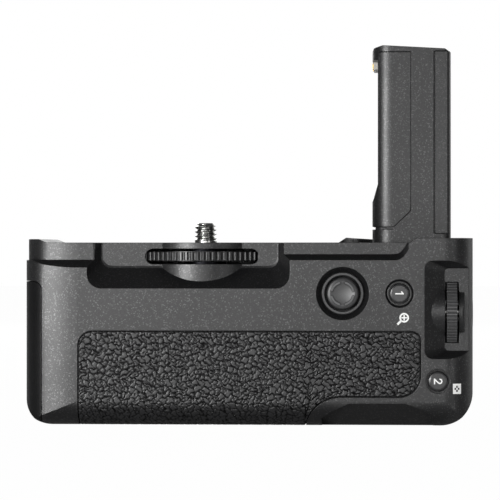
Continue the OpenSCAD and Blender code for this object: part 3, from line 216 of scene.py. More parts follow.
# %% [markdown]
# ## Metals, board and film
# Steel, aluminium and gilt are told apart by colour and by how they were worked: turned steel has
# fine rings, rolled sheet has streaks along it, and plating is nearly smooth. All are metallic
# shaders, whose base colour is the colour of their reflection.

# %% Metals, circuit board and flexible film
def worked_metal(name, dark, pale, roughness, streak_mm, stretch=(1.0, 1.0, 1.0)):
    """Noise stretched along the way the metal was worked drives tint, gloss and a fine bump."""
    m, t, shader, place = start_material(name)
    along = add(t, "ShaderNodeMapping", {"Vector": place}, {"Scale": stretch})
    streak = add(t, "ShaderNodeTexNoise", {"Vector": along.outputs["Vector"]},
                 {"Scale": 1.0 / (streak_mm * MM), "Detail": 3.0})
    tint = add(t, "ShaderNodeMix", {0: streak.outputs["Fac"]}, {6: linear(dark), 7: linear(pale)},
               data_type="RGBA")
    gloss = add(t, "ShaderNodeMapRange", {"Value": streak.outputs["Fac"]},
                {"To Min": roughness - 0.06, "To Max": roughness + 0.08})
    edge = add(t, "ShaderNodeBevel", None, {"Radius": 0.06 * MM}, samples=4)
    fine = add(t, "ShaderNodeBump", {"Height": streak.outputs["Fac"], "Normal": edge.outputs["Normal"]},
               {"Strength": 0.2, "Distance": 0.02 * MM})
    t.links.new(tint.outputs[2], shader.inputs["Base Color"])
    t.links.new(gloss.outputs["Result"], shader.inputs["Roughness"])
    t.links.new(fine.outputs["Normal"], shader.inputs["Normal"])
    shader.inputs["Metallic"].default_value = 1.0
    return m


# Turned stainless steel: bright, with rings round the axis.
steel = worked_metal("turned_stainless_steel", "#a9a9a7", "#dcdcd9", 0.24, 0.4, (0.15, 0.15, 1.0))
# Stamped aluminium plates: pale and satin.
aluminium = worked_metal("rolled_aluminium", "#9a9b9d", "#bcbdbf", 0.38, 0.5, (0.1, 1.0, 1.0))
# Blackened steel of screw heads; on the camera screw's shank below the deck it is painted shade.
black_steel_and_painted_shade = worked_metal("blackened_steel_and_painted_shade", "#26262a", "#3b3b3f", 0.4, 0.4)
# Gold plate on contacts.
gold_plate = worked_metal("gold_plate", "#c89b3c", "#e2bd68", 0.25, 0.6)


BANDS_PER_SCALE = 0.314  # a wave texture at scale 1 repeats each 0.314 units


def laminate(name, dark, pale, weave_mm, roughness):
    """Glass cloth under varnish: two crossed wave patterns of the yarn's spacing, mixed."""
    m, t, shader, place = start_material(name)
    bands = [add(t, "ShaderNodeTexWave", {"Vector": place},
                 {"Scale": BANDS_PER_SCALE / (weave_mm * MM), "Distortion": 0.6},
                 bands_direction=d) for d in "XZ"]
    cross = add(t, "ShaderNodeMath", {0: bands[0].outputs["Fac"], 1: bands[1].outputs["Fac"]},
                operation="MULTIPLY")
    tint = add(t, "ShaderNodeMix", {0: cross.outputs["Value"]}, {6: linear(dark), 7: linear(pale)},
               data_type="RGBA")
    t.links.new(tint.outputs[2], shader.inputs["Base Color"])
    shader.inputs["Roughness"].default_value = roughness
    return m


# Glass-epoxy circuit board under green resist, and amber polyimide film of the flexible cable.
board_laminate = laminate("glass_epoxy_board", "#0e3a24", "#155034", 0.6, 0.35)
polyimide = laminate("polyimide_film", "#7a4a12", "#8f5a1c", 0.9, 0.3)
print("metals and laminates ready")

# %% [markdown]
# ## What each solid is made of
# A solid whose shape is already right stays as it is and only gets its material. The list goes from
# material to the solids that are made of it, so that a new finish is one line.

# %% Materials on the solids
made_of = {
    housing_plastic: ["rear_shell", "front_shell", "base_plate", "top_cover", "tower_shell",
                      "tower_left_cover", "tower_side_panel"],
    key_plastic: ["stick_ring", "focus_button", "hold_button", "shutter_button", "shutter_collar",
                  "power_lever", "side_button_upper", "side_button_lower", "lock_knob"],
    knurled_plastic: ["lock_wheel"],
    stick_plastic: ["stick_cap", "rear_dial", "front_dial"],
    pad_foam: ["deck_pad"],
    cap_plastic: ["magazine_end_cap"],
    nylon: ["stick_housing", "stick_carrier", "stick_gimbal", "tact_switches", "rear_dial_encoder",
            "front_dial_encoder", "contact_block", "magazine_tray"],
    pale_pbt: ["terminal_block"],
    steel: ["camera_screw", "rear_dial_shaft", "front_dial_shaft", "tripod_bush", "bay_springs", "lock_cam"],
    aluminium: ["chassis_plate", "tripod_plate", "rear_dial_bracket", "front_dial_bracket"],
    black_steel_and_painted_shade: ["chassis_screws", "case_screws", "wave_washer", "retaining_clip"],
    gold_plate: ["tower_contacts", "contact_pins", "magazine_contacts"],
    board_laminate: ["main_board", "control_board", "hold_board", "end_board"],
    polyimide: ["flex_cable"],
}
for finish, names in made_of.items():
    for name in names:
        mesh = nodes[name].data
        mesh.materials.clear()
        mesh.materials.append(finish)
print("solids dressed:", sum(len(v) for v in made_of.values()))

# %% [markdown]
# ## Surfaces from arrays
# Every new piece is a surface worked out with numpy: a grid of points, one row for each step of one
# parameter and one column for each step of the other. The faces follow from the grid's shape alone.
# A grid can close on itself in one direction, as a turned part does.

# %% Mesh helpers
SHARP_ANGLE = math.radians(38)


def grid_faces(rows, columns, closed=False, start=0):
    """Quads of a rows x columns grid: point (i, j) has number i * columns + j, and j wraps where closed."""
    i, j = np.meshgrid(np.arange(rows - 1), np.arange(columns if closed else columns - 1), indexing="ij")
    k = (j + 1) % columns
    a, b = i * columns, (i + 1) * columns
    quads = np.stack([a + j, a + k, b + k, b + j], -1)
    return quads.reshape(-1, 4) + start


def make_piece(name, points_mm, faces, finish, body, slot, smooth=True):
    """A mesh object from points in millimetres, with its finish and its body. The slot argument is not used.
    """
    mesh = bpy.data.meshes.new(name)
    mesh.from_pydata((np.asarray(points_mm, float) * MM).tolist(), [], [list(map(int, f)) for f in faces])
    mesh.validate()
    mesh.polygons.foreach_set("use_smooth", np.full(len(mesh.polygons), smooth))
    mesh.set_sharp_from_angle(angle=SHARP_ANGLE)
    mesh.materials.append(finish)
    piece = bpy.data.objects.new(name, mesh)
    bpy.context.collection.objects.link(piece)
    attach(piece, body)
    return piece


print("mesh helpers ready")

# %% [markdown]
# ## The camera screw
# The screw is a 1/4 inch camera thread with 20 turns to the inch, rolled in stainless steel, with a
# chamfer at its tip. A spiral could be swept round an axis with the Screw modifier. Here the radius
# is a function of the angle and the height, so that crest, root and run-out come from one formula.

# %% Threaded screw
CREST_FLAT, FLANK_RISE = 0.12, 0.76
RUN_IN_FROM, RUN_IN_OVER = 0.5, 0.8
TIP_DROP, TIP_SLOPE = 0.15, 0.9


def threaded_screw(pitch_mm, crest_r, root_r, foot, top, steps_round=64, steps_per_mm=14):
    """Radius over angle and height: p = height / pitch - angle / turn; r falls from crest to root as
    |p mod 1 - 0.5| passes a flat of a tenth of a pitch. Below the deck it is the plain turned shank."""
    shank = np.array(foot)
    z = np.linspace(0.0, top, int(top * steps_per_mm))
    angle = np.linspace(0.0, 2 * math.pi, steps_round, endpoint=False)
    zz, aa = np.meshgrid(z, angle, indexing="ij")
    flank = np.abs((zz / pitch_mm - aa / (2 * math.pi)) % 1.0 - 0.5) * 2.0
    tooth = np.clip((flank - CREST_FLAT) / FLANK_RISE, 0.0, 1.0)
    start = np.clip((zz - RUN_IN_FROM) / RUN_IN_OVER, 0.0, 1.0)
    r = crest_r - (crest_r - root_r) * (1.0 - tooth) * start
    r = np.minimum(r, root_r - TIP_DROP + np.clip(top - zz, 0.0, None) * TIP_SLOPE)
    low_r, low_z = shank[:, 0], shank[:, 1]
    low = np.stack([low_r[:, None] * np.cos(angle), low_r[:, None] * np.sin(angle),
                    np.repeat(low_z[:, None], steps_round, 1)], -1)
    high = np.stack([r * np.cos(aa), r * np.sin(aa), zz], -1)
    rows = np.concatenate([low, high])
    points = np.concatenate([rows.reshape(-1, 3), [[0, 0, low_z[0]], [0, 0, top]]])
    n = len(rows)
    faces = grid_faces(n, steps_round, closed=True).tolist()
    j = np.arange(steps_round)
    k = (j + 1) % steps_round
    last = (n - 1) * steps_round
    faces += np.stack([k, j, np.full_like(j, n * steps_round)], -1).tolist()
    faces += np.stack([last + j, last + k, np.full_like(j, n * steps_round + 1)], -1).tolist()
    return points, faces


SCREW_PITCH, SCREW_R, SCREW_ROOT_R, SCREW_TOP = 25.4 / 20, 3.175, 2.45, 5.7
shank_profile = [(2.5, -10.1), (2.5, -9.5), (2.1, -9.5), (2.1, -8.9), (2.5, -8.9), (2.5, -5.3), (3.4, -5.3),
                 (3.4, -2.54), (6.0, -2.54), (6.0, -2.04), (3.625, -2.04), (3.625, 0.0)]
thread = threaded_screw(SCREW_PITCH, SCREW_R, SCREW_ROOT_R, shank_profile, SCREW_TOP)
screw = make_piece("threaded_camera_screw", *thread, steel, "thumbwheel", "steel")
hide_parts("camera_screw")
# The shank below the deck takes the blackened steel as painted shade, so that it doesn't shine out of the
# wheel's slot.
screw.data.materials.append(black_steel_and_painted_shade)
DECK_MM = 0.05
below = np.array([max(screw.data.vertices[v].co.z for v in f.vertices) < DECK_MM * MM
                  for f in screw.data.polygons])
screw.data.polygons.foreach_set("material_index", below.astype(np.int32))
print("screw:", len(screw.data.polygons), "faces")

# %% [markdown]
# ## The pebbled rubber
# The grip panels are moulded rubber with a leather grain: flat-topped pebbles about two millimetres
# wide with narrow creases between them, here and there a pit in a pebble. A bump map would give the
# shading, but not the broken edge that shows against the light, so the grain is cut into the mesh.
#
# Pebbles are what is left between the borders of a cell pattern. Each point looks for its nearest and
# second nearest seed; where the two are equally far, there is a border, and the border is a crease.

# %% Pebble relief
TABLE_U, TABLE_V = 61, 67
JITTER_FROM, JITTER_OVER = 0.1, 0.8


def pebbles(u, v, cell, seed, crease):
    """0 on a pebble's top and 1 in a crease: with distances d1 and d2 to the two nearest of one jittered
    seed per cell, 1 - smoothstep((d2 - d1) / crease). Also gives d1 and a random number of the pebble."""
    rng = np.random.default_rng(seed)
    table = rng.random((TABLE_U, TABLE_V, 3))
    u, v = u / cell, v / cell
    # Three slow waves bend the cells, so that no row of them shows.
    x = u + 0.22 * np.sin(1.7 * v + 0.6) + 0.12 * np.sin(4.1 * v + 0.9 * u) + 0.1 * np.sin(7.3 * v - 2.1 * u)
    y = v + 0.22 * np.sin(1.3 * u + 1.9) + 0.12 * np.sin(3.7 * u - 1.1 * v) + 0.1 * np.sin(6.7 * u + 2.3 * v)
    ix, iy = np.floor(x).astype(int), np.floor(y).astype(int)
    d1 = np.full(x.shape, 9.0)
    d2 = d1.copy()
    chance = np.zeros(x.shape)
    for dx in (-1, 0, 1):
        for dy in (-1, 0, 1):
            t = table[(ix + dx) % TABLE_U, (iy + dy) % TABLE_V]
            d = np.hypot(ix + dx + JITTER_FROM + JITTER_OVER * t[..., 0] - x,
                         iy + dy + JITTER_FROM + JITTER_OVER * t[..., 1] - y)
            nearer = d < d1
            d2 = np.where(nearer, d1, np.minimum(d2, d))
            chance = np.where(nearer, t[..., 2], chance)
            d1 = np.where(nearer, d, d1)
    s = np.clip((d2 - d1) / crease, 0.0, 1.0)
    return 1.0 - s * s * (3.0 - 2.0 * s), d1, chance


PEBBLE_MM, PEBBLE_CREASE = 1.75, 0.25
SMALL_MM, SMALL_CREASE = 1.3, 0.2
PIT_R, PITTED_FROM, CROSSED_UNDER = 0.17, 0.72, 0.33


def leather_grain(u, v, seed):
    """Depth from 0 to 1: large pebbles, a third of them crossed by small creases, and a pit in 28 of a
    hundred. The deepest of the three counts; pits reach 0.9 and small creases 0.7."""
    large, d1, chance = pebbles(u, v, PEBBLE_MM, seed, PEBBLE_CREASE)
    small, _, _ = pebbles(u + 31.0, v + 17.0, SMALL_MM, seed + 1, SMALL_CREASE)
    pit = np.clip(1.3 - d1 / PIT_R, 0.0, 1.0) * (chance > PITTED_FROM)
    return np.clip(np.maximum(np.maximum(large, 0.9 * pit), 0.7 * small * (chance < CROSSED_UNDER)), 0.0, 1.0)


sample = np.arange(0, 10, 0.25)
print("mean grain over 10 mm:", round(float(leather_grain(*np.meshgrid(sample, sample), 5).mean()), 2))

# %% [markdown]
# Rubber takes carbon black as its filler, so it is darker than the plastic and has a dull sheen. The
# depth of the grain is kept on the mesh as an attribute, and the shader darkens the creases and cuts
# their shine by it: painted shade.

# %% Rubber
SKIN_MM, RUBBER_IOR = 0.3, 1.52


def moulded_rubber(name, crease, top, roughness):
    """Crease and top colours mixed by the mesh's own grain depth, with a fine skin of noise; the crease
    colour and the cut shine in the creases are painted shade. The real skin is about 0.1 mm; it is drawn at
    0.3 mm, one pixel, to show."""
    m, t, shader, place = start_material(name)
    depth = add(t, "ShaderNodeAttribute", attribute_name="grain_depth")
    skin = add(t, "ShaderNodeTexNoise", {"Vector": place}, {"Scale": 1.0 / (SKIN_MM * MM), "Detail": 2.0})
    shade = add(t, "ShaderNodeMix", {0: depth.outputs["Fac"]}, {6: linear(top), 7: linear(crease)},
                data_type="RGBA")
    gloss = add(t, "ShaderNodeMapRange", {"Value": skin.outputs["Fac"]},
                {"To Min": roughness - 0.08, "To Max": roughness + 0.08})
    fine = add(t, "ShaderNodeBump", {"Height": skin.outputs["Fac"]},
               {"Strength": 0.3, "Distance": 0.04 * MM})
    shine = add(t, "ShaderNodeMapRange", {"Value": depth.outputs["Fac"]},
                {"To Min": 0.62, "To Max": 0.03})
    t.links.new(shade.outputs[2], shader.inputs["Base Color"])
    t.links.new(gloss.outputs["Result"], shader.inputs["Roughness"])
    t.links.new(shine.outputs["Result"], shader.inputs["Specular IOR Level"])
    t.links.new(fine.outputs["Normal"], shader.inputs["Normal"])
    shader.inputs["IOR"].default_value = RUBBER_IOR
    return m


# Carbon-filled rubber: flat greyish tops; the near black of the creases is painted shade.
grip_rubber = moulded_rubber("carbon_filled_rubber", "#050505", "#1f1f20", 0.4)
for name in ("rear_grip_rubber", "front_grip_rubber"):
    nodes[name].data.materials.clear()
    nodes[name].data.materials.append(grip_rubber)
print("rubber ready")

# %% [markdown]
# ## The panels' shape
# A panel lies on the housing as a skin: it follows a path in one direction and the straight of the
# housing in the other. The rear panel runs down the back, round the lower edge and under the base. The
# front panel runs round the hand bulge. Both are one grid of points over path and length, pushed in by
# the grain, with a plain inner side behind it, so each is a closed piece.

# %% Panel builder
RIM_MM, RIM_DROP_MM, BACK_ROWS = 0.5, 0.25, 25
NO_LEVEL = 1000.0


def along_path(low, high, level, count, share=0.86):
    """Path places of each row: the first share of them goes evenly down to level, or to that share of a
    shorter path, and the rest goes on to the end, so that neighbours of unequal length stay in step."""
    t = np.linspace(0.0, 1.0, count)
    mid = np.minimum(level, low + share * (high - low))[:, None]
    first = low[:, None] + (mid - low[:, None]) * t / share
    return np.where(t <= share, first, mid + (high[:, None] - mid) * (t - share) / (1.0 - share))


def panel(name, node, x_or_z, low, high, skin_point, seed, rows, level=NO_LEVEL, depth=0.17, thick=0.75):
    """Point (i, j): path place low_i to high_i at j, pushed in along the normal by depth * grain, and by a
    rounded rim near the outline. skin_point(length, path) gives the point and the normal of the housing."""
    length = np.repeat(x_or_z[:, None], rows, 1)
    path = along_path(low, high, level, rows)
    rim = np.minimum.reduce([path - low[:, None], high[:, None] - path,
                             np.abs(length - x_or_z[0]), np.abs(x_or_z[-1] - length)])
    edge = np.clip(1.0 - rim / RIM_MM, 0.0, 1.0) ** 2
    grain = leather_grain(length, path, seed)
    point, normal = skin_point(length, path)
    outer = point - normal * (depth * grain * (1.0 - edge) + RIM_DROP_MM * edge)[..., None]
    length_b = np.repeat(x_or_z[:, None], BACK_ROWS, 1)
    path_b = along_path(low, high, level, BACK_ROWS)
    point_b, normal_b = skin_point(length_b, path_b)
    inner = point_b - normal_b * thick
    n = len(x_or_z)
    faces = grid_faces(n, rows).tolist()
    back = n * rows
    faces += grid_faces(n, BACK_ROWS, start=back)[:, ::-1].tolist()
    i = np.arange(n - 1)
    o, b = i * rows, back + i * BACK_ROWS
    faces += np.stack([o, o + rows, b + BACK_ROWS, b], -1).tolist()
    o, b = o + rows - 1, b + BACK_ROWS - 1
    faces += np.stack([o + rows, o, b, b + BACK_ROWS], -1).tolist()
    first, first_b = np.arange(rows), back + np.arange(BACK_ROWS)
    last, last_b = first + (n - 1) * rows, first_b + (n - 1) * BACK_ROWS
    faces += [first[::-1].tolist() + first_b.tolist(), last.tolist() + last_b[::-1].tolist()]
    points = np.concatenate([outer.reshape(-1, 3), inner.reshape(-1, 3)])
    piece = make_piece(name, points, faces, grip_rubber, "grip", "rubber")
    # The grain depth, full at the rim near the outline, darkens the rubber there in the shader: painted
    # shade.
    shade = np.concatenate([np.maximum(grain, edge).ravel(), np.ones(inner[..., 0].size)])
    piece.data.attributes.new("grain_depth", "FLOAT", "POINT").data.foreach_set("value", shade)
    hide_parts(node)
    return piece


def corner_drop(x, edge, inward, r):
    """How far a round of radius r takes an outline back at x: r - sqrt(r^2 - (r - d)^2), d from the edge."""
    d = np.clip((x - edge) * inward, 0.0, r)
    return r - np.sqrt(np.maximum(r * r - (r - d) ** 2, 0.0))


print("panel builder ready")

# %% [markdown]
# The rear panel's outline: straight at the left with a round upper corner, a straight top, a small round
# at the upper right and a large one at the lower right, and a hollow sweep below, where the panel steps
# up to leave the finger scoop free.

# %% Rear rubber
REAR_FACE = -20.5
base_z, base_r = -52.3, 7.0
top_z, wrap_y = -25.3, -8.0
panel_left, panel_right, step_z, under_x, sweep_r = -35.07, 62.6, -43.9, 29.5, 10.6
upper_left_r, upper_right_r, lower_right_r = 4.3, 2.6, 6.3
COLUMN_MM, REAR_ROWS, REAR_SEED = 0.215, 172, 7
flat_l = top_z - (base_z + base_r)
arc_l = base_r * math.pi / 2
full_l = flat_l + arc_l + wrap_y - (REAR_FACE + base_r)


def rear_skin(x, path):
    """Down the back, then an arc of the base's radius, then forward under the base."""
    turn = np.clip((path - flat_l) / base_r, 0.0, math.pi / 2)
    under = np.clip(path - flat_l - arc_l, 0.0, None)
    y = REAR_FACE + base_r - base_r * np.cos(turn) + under
    z = np.where(path < flat_l, top_z - path, base_z + base_r - base_r * np.sin(turn))
    normal = np.stack([np.zeros_like(x), -np.cos(turn), -np.sin(turn)], -1)
    return np.stack([x, y, z], -1), normal


ends = np.array([0.0, 0.03, 0.12, 0.3])
even = np.arange(panel_left + 0.5, panel_right - 0.45, COLUMN_MM)
# Where the lower outline climbs steeply out of the base, the columns lie closer: one each 0.02 radian
# of its arc.
climb = under_x + sweep_r * (1.0 - np.cos(np.arange(0.2, 0.62, 0.02)))
even = even[(even < climb[0] - 0.05) | (even > climb[-1] + 0.05)]
columns = np.sort(np.concatenate([panel_left + ends, even, climb, panel_right - ends[::-1]]))
upper = np.maximum(corner_drop(columns, panel_left, 1, upper_left_r),
                   corner_drop(columns, panel_right, -1, upper_right_r))
sweep = np.clip(columns - under_x, 0.0, sweep_r)
low_z = step_z - sweep_r + np.sqrt(np.maximum(sweep_r ** 2 - (sweep_r - sweep) ** 2, 0.0))
round_turn = np.arcsin(np.clip((base_z + base_r - low_z) / base_r, 0.0, 1.0))
on_back = low_z > base_z + base_r
climbing = np.where(on_back, top_z - low_z, flat_l + base_r * round_turn)
lower = np.where(columns <= under_x + 0.2, full_l, climbing)
lower = lower - np.where(columns > under_x + sweep_r,
                         corner_drop(columns, panel_right, -1, lower_right_r), 0.0)
rear_rubber = panel("pebbled_rear_rubber", "rear_grip_rubber", columns, upper, lower, rear_skin, REAR_SEED,
                    REAR_ROWS, level=flat_l + 0.5 * arc_l)
print("rear rubber:", len(rear_rubber.data.polygons), "faces")

# %% [markdown]
# The front panel goes round the hand bulge from the hollow sweep at its left to near the front dial.

# %% Front rubber
sweep_c, bulge_sweep, bulge_round = (33.0, 35.5), 7.0, 9.0
bulge_y, bulge_left, panel_y, bulge_base = 46.0, 40.0, 30.0, 12.0
first_turn = math.asin((panel_y - sweep_c[1]) / bulge_sweep)
path_marks = np.cumsum([0.0, -first_turn * bulge_sweep, bulge_y - bulge_round - sweep_c[1],
                        bulge_round * math.pi / 2])
front_right, front_low, front_top, front_round = 67.0, -44.0, -6.0, 5.0
ROW_MM, FRONT_ROWS, FRONT_SEED = 0.24, 180, 23
path_end = path_marks[3] + front_right - (bulge_left + bulge_round)


def front_skin(z, path):
    """Along the plan: hollow arc, flank, round edge, flat front; cut back by the round under the bulge."""
    a = first_turn + np.clip(path, 0.0, path_marks[1]) / bulge_sweep
    b = math.pi - np.clip(path - path_marks[2], 0.0, bulge_round * math.pi / 2) / bulge_round
    hollow, flank = path < path_marks[1], path < path_marks[2]
    x = np.where(hollow, sweep_c[0] + bulge_sweep * np.cos(a),
                 np.where(flank, bulge_left, bulge_left + bulge_round + bulge_round * np.cos(b)))
    x = x + np.clip(path - path_marks[3], 0.0, None)
    y = np.where(hollow, sweep_c[1] + bulge_sweep * np.sin(a),
                 np.where(flank, sweep_c[1] + path - path_marks[1],
                          bulge_y - bulge_round + bulge_round * np.sin(b)))
    dip = np.clip(base_z + bulge_base - z, 0.0, bulge_base)
    y = np.minimum(y, bulge_y - bulge_base + np.sqrt(bulge_base ** 2 - dip ** 2))
    nx = np.where(hollow, -np.cos(a), np.where(flank, -1.0, np.cos(b)))
    ny = np.where(hollow, -np.sin(a), np.where(flank, 0.0, np.sin(b)))
    return np.stack([x, y, z], -1), np.stack([nx, ny, np.zeros_like(x)], -1)


even = np.arange(front_low + 0.5, front_top - 0.45, ROW_MM)
heights = np.concatenate([front_low + ends, even, front_top - ends[::-1]])[::-1]
corner = np.maximum(corner_drop(heights, front_low, 1, front_round),
                    corner_drop(heights, front_top, -1, front_round))
front_rubber = panel("pebbled_front_rubber", "front_grip_rubber", heights, np.zeros_like(heights),
                     path_end - corner, front_skin, FRONT_SEED, FRONT_ROWS)
print("front rubber:", len(front_rubber.data.polygons), "faces")

# %% [markdown]
# ## Printed signs
# The housing carries two small pictograms in white pad print, and each button a number. Print is a film
# of ink, so each sign is a thin slab that stands a few hundredths of a millimetre proud of what it is
# printed on. Text could stay a text object; here each number is drawn as strokes in a mesh.

# %% Ink and sign helpers
PATCH_MM = 0.4
INK_MM, INK_STEP_MM, INK_ROOT_MM = 0.04, 0.003, 0.1


def pad_print(name, colour):
    """Ink: one colour that thins out a little in small patches, as a pad leaves it. Its faint glow is
    painted light, which keeps it white beside black plastic."""
    m, t, shader, place = start_material(name)
    patch = add(t, "ShaderNodeTexNoise", {"Vector": place}, {"Scale": 1.0 / (PATCH_MM * MM), "Detail": 2.0})
    thin = add(t, "ShaderNodeMapRange", {"Value": patch.outputs["Fac"]},
               {"To Min": 0.06, "To Max": 0.0})
    tint = add(t, "ShaderNodeMix", {0: thin.outputs["Result"]}, {6: linear(colour), 7: linear("#3a3a3b")},
               data_type="RGBA")
    t.links.new(tint.outputs[2], shader.inputs["Base Color"])
    # Painted light: the ink glows faintly in its own colour, though it is no lamp.
    t.links.new(tint.outputs[2], shader.inputs["Emission Color"])
    shader.inputs["Emission Strength"].default_value = 0.18
    shader.inputs["Roughness"].default_value = 0.45
    return m


white_ink_and_painted_glow = pad_print("white_pad_print_and_painted_glow", "#f0f0ee")


def prism_faces(n):
    """Faces between two rings of n points: the first ring's cap, the second's turned over, and the wall."""
    j = np.arange(n)
    k = (j + 1) % n
    return [j.tolist(), (n + j[::-1]).tolist()] + np.stack([k, j, n + j, n + k], -1).tolist()


def slab(outline, front, back):
    """An outline in (X, Z), counted round, carried from Y = front to Y = back: two caps and one wall."""
    rings = [np.insert(np.asarray(outline, float), 1, y, axis=1) for y in (front, back)]
    return np.concatenate(rings), prism_faces(len(outline))


def joined(shapes):
    """Several point and face sets as one: each set's faces move up by the points before it."""
    starts = np.cumsum([0] + [len(p) for p, _ in shapes])
    return (np.concatenate([p for p, _ in shapes]),
            [[v + int(s) for v in f] for (_, faces), s in zip(shapes, starts) for f in faces])


def bar(x0, z0, x1, z1, width):
    """A stroke from one point to another with square ends, as an outline in (X, Z)."""
    a, b = np.array([x0, z0]), np.array([x1, z1])
    along = (b - a) / np.linalg.norm(b - a) * width / 2
    side = np.array([along[1], -along[0]])
    return [a - along + side, b + along + side, b + along - side, a - along - side]


print("ink ready")

# %% Magnifier and index signs on the housing
def ring(x, z, r, width, front, back, steps=40):
    """A flat ring: four circles, outer and inner at the front and at the back, joined round its section."""
    a = np.linspace(0, 2 * math.pi, steps, endpoint=False)
    section = [(r + width / 2, front), (r + width / 2, back), (r - width / 2, back), (r - width / 2, front)]
    points = np.concatenate([np.stack([x + q * np.cos(a), np.full(steps, y), z + q * np.sin(a)], -1)
                             for q, y in section])
    j = np.arange(steps)
    k = (j + 1) % steps
    faces = [np.stack([i * steps + j, n * steps + j, n * steps + k, i * steps + k], -1)
             for i, n in ((0, 1), (1, 2), (2, 3), (3, 0))]
    return points, np.concatenate(faces).tolist()


def stroke_slabs(outlines, face_y):
    """One thin slab for each stroke; each next one is thicker by a hair, so that no two faces coincide."""
    return [slab(o, face_y - INK_MM - INK_STEP_MM * i, face_y + INK_ROOT_MM) for i, o in enumerate(outlines)]


lens_x, lens_z, lens_r, lens_line = 57.95, -21.35, 1.14, 0.46
handle_from, handle_to, handle_line = 0.9, 1.7, 0.62
plus_half, plus_line = 0.6, 0.4
handle = bar(lens_x - handle_from, lens_z - handle_from, lens_x - handle_to, lens_z - handle_to, handle_line)
plus = [bar(lens_x - plus_half, lens_z, lens_x + plus_half, lens_z, plus_line),
        bar(lens_x, lens_z - plus_half, lens_x, lens_z + plus_half, plus_line)]
lens = ring(lens_x, lens_z, lens_r, lens_line, REAR_FACE - INK_MM, REAR_FACE + INK_ROOT_MM)
make_piece("magnifier_sign", *joined([lens] + stroke_slabs([handle] + plus, REAR_FACE)), white_ink_and_painted_glow, "grip",
           "control_plastic", smooth=False)


def bent_tile(x0, x1, z0, z1, centre, r):
    """One cell of a sign that lies on an upright round: its ends follow
    y = centre_y - sqrt(r^2 - (x - centre_x)^2)."""
    corners = [(x0, z0), (x1, z0), (x1, z1), (x0, z1)]
    face = [centre[1] - math.sqrt(r * r - (x - centre[0]) ** 2) for x, _ in corners]
    outer = [(x, y - INK_MM, z) for (x, z), y in zip(corners, face)]
    inner = [(x, y + INK_ROOT_MM, z) for (x, z), y in zip(corners, face)]
    return np.array(outer + inner), prism_faces(len(corners))


# The index sign is a tile of 5 x 5 cells with four dark ones round its middle: each column is drawn in runs.
tile_x, tile_z, cell_w, cell_h = 71.75, -42.95, 0.46, 0.58
round_centre, round_r = (69.5, -12.5), 8.0
runs = [[(0, 5)], [(0, 2), (3, 5)], [(0, 1), (2, 3), (4, 5)], [(0, 2), (3, 5)], [(0, 5)]]
tiles = [bent_tile(tile_x + i * cell_w, tile_x + (i + 1) * cell_w, tile_z + low * cell_h,
                   tile_z + high * cell_h, round_centre, round_r)
         for i, column in enumerate(runs) for low, high in column]
make_piece("index_sign", *joined(tiles), white_ink_and_painted_glow, "grip", "control_plastic", smooth=False)
print("signs drawn: a magnifier and", len(tiles), "tiles")

# %% [markdown]
# The two buttons are numbered. Each number is written for a camera held upright, so it reads downwards:
# a stroke's height runs to the right and its way runs down.

# %% Numbers on the buttons
strokes = {"1": [(-0.45, 0.6), (0.05, 1.0), (0.05, -1.05)],
           "2": [(-0.6, 0.55), (-0.45, 0.9), (0.0, 1.05), (0.45, 0.9), (0.6, 0.5), (0.4, 0.05), (-0.6, -1.0),
                 (0.65, -1.0)]}
CAP_FACE, STROKE_MM = -20.85, 0.36


def number_on(button, digit, centre, face_y, body):
    """The digit's strokes, turned a quarter round, as thin slabs on a cap that ride on it."""
    p = [(centre[0] + v, centre[1] - u) for u, v in strokes[digit]]
    shapes = stroke_slabs([bar(*p[i], *p[i + 1], STROKE_MM) for i in range(len(p) - 1)], face_y)
    return make_piece(button, *joined(shapes), white_ink_and_painted_glow, body, "control_plastic", smooth=False)


number_on("focus_button_number", "1", (56.65, -14.5), CAP_FACE, "focus_button_body")
number_on("hold_button_number", "2", (67.55, -39.35), CAP_FACE, "hold_button_body")
print("buttons numbered")

# %% [markdown]
# ## Studio
# The picture was lit by broad soft lamps close to the camera, a little stronger from the left, and cut
# out on white. Faces that look at the camera are lit, and faces that turn up, down or aside fall to
# black. Three area lamps beside the camera give that, with the key at the left. Three more stand behind
# for other views; they are large, so that the deck mirrors them as a grey sheen and not as white. The
# floor and the world are white to the camera, and the floor keeps a faint shadow.

# %% Lamps
GRIP_MIDDLE = np.array([12.0, 5.0, -10.0])


def soft_lamp(name, place_mm, size_mm, watts):
    """A rectangular area lamp at a place, turned to face the middle of the grip."""
    lamp = bpy.data.lights.new(name, "AREA")
    lamp.shape = "RECTANGLE"
    lamp.size, lamp.size_y = size_mm[0] * MM, size_mm[1] * MM
    lamp.energy = watts
    ob = bpy.data.objects.new(name, lamp)
    ob.location = np.array(place_mm) * MM
    way = GRIP_MIDDLE - np.array(place_mm)
    flat = math.hypot(way[0], way[1])
    ob.rotation_euler = (math.atan2(flat, -way[2]), 0.0, math.atan2(-way[0], way[1]))
    bpy.context.collection.objects.link(ob)
    return ob


soft_lamp("key_softbox", (-470, -760, 30), (240, 300), 6.8)
soft_lamp("fill_softbox", (-40, -900, 20), (460, 280), 1.62)
soft_lamp("right_softbox", (560, -760, 60), (200, 260), 0.6)
soft_lamp("back_softbox", (0, 950, 380), (1300, 640), 4.4)
soft_lamp("side_softbox", (760, 480, 320), (560, 560), 2.2)
soft_lamp("far_softbox", (-400, 860, 400), (600, 600), 2.0)
print("three lamps in front, three behind")

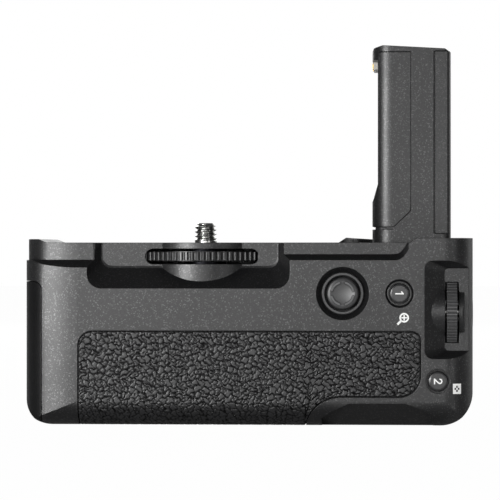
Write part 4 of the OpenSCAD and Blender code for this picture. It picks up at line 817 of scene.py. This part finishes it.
# %% Floor and world
floor_z, FLOOR_HALF_M = cad_box[0][2], 3.0
SKY_LIGHT, FLOOR_WHITE = 0.07, 0.985
world = bpy.data.worlds.new("studio_world")
bpy.context.scene.world = world
world.use_nodes = True
w = world.node_tree
w.nodes.clear()
ray = add(w, "ShaderNodeLightPath").outputs
seen = add(w, "ShaderNodeMath", {0: ray["Is Camera Ray"], 1: ray["Is Transmission Ray"]},
           operation="MAXIMUM")
sky = add(w, "ShaderNodeBackground", None, {"Color": linear("#ffffff"), "Strength": SKY_LIGHT})
white = add(w, "ShaderNodeBackground", None, {"Color": linear("#ffffff"), "Strength": 1.0})
pick = add(w, "ShaderNodeMixShader", {0: seen.outputs["Value"], 1: sky.outputs["Background"],
                                      2: white.outputs["Background"]})
add(w, "ShaderNodeOutputWorld", {"Surface": pick.outputs["Shader"]})

floor_mat = bpy.data.materials.new("white_sweep_paper")
floor_mat.use_nodes = True
f = floor_mat.node_tree
f.nodes.clear()
ray = add(f, "ShaderNodeLightPath").outputs
paper = add(f, "ShaderNodeBsdfDiffuse", None, {"Color": linear("#f2f2f2")})
glow = add(f, "ShaderNodeEmission", None, {"Color": linear("#ffffff"), "Strength": 1.0})
share = add(f, "ShaderNodeMath", {0: ray["Is Camera Ray"]}, {1: FLOOR_WHITE}, operation="MULTIPLY")
both = add(f, "ShaderNodeMixShader", {0: share.outputs["Value"], 1: paper.outputs["BSDF"],
                                      2: glow.outputs["Emission"]})
add(f, "ShaderNodeOutputMaterial", {"Surface": both.outputs["Shader"]})

floor_mesh = bpy.data.meshes.new("studio_floor")
floor_corners = [(x * FLOOR_HALF_M, y * FLOOR_HALF_M, floor_z)
                 for x, y in ((-1, -1), (1, -1), (1, 1), (-1, 1))]
floor_mesh.from_pydata(floor_corners, [], [(0, 1, 2, 3)])
floor_mesh.materials.append(floor_mat)
studio_floor = bpy.data.objects.new("studio_floor", floor_mesh)
bpy.context.collection.objects.link(studio_floor)
print("floor at", round(floor_z / MM, 2), "mm")
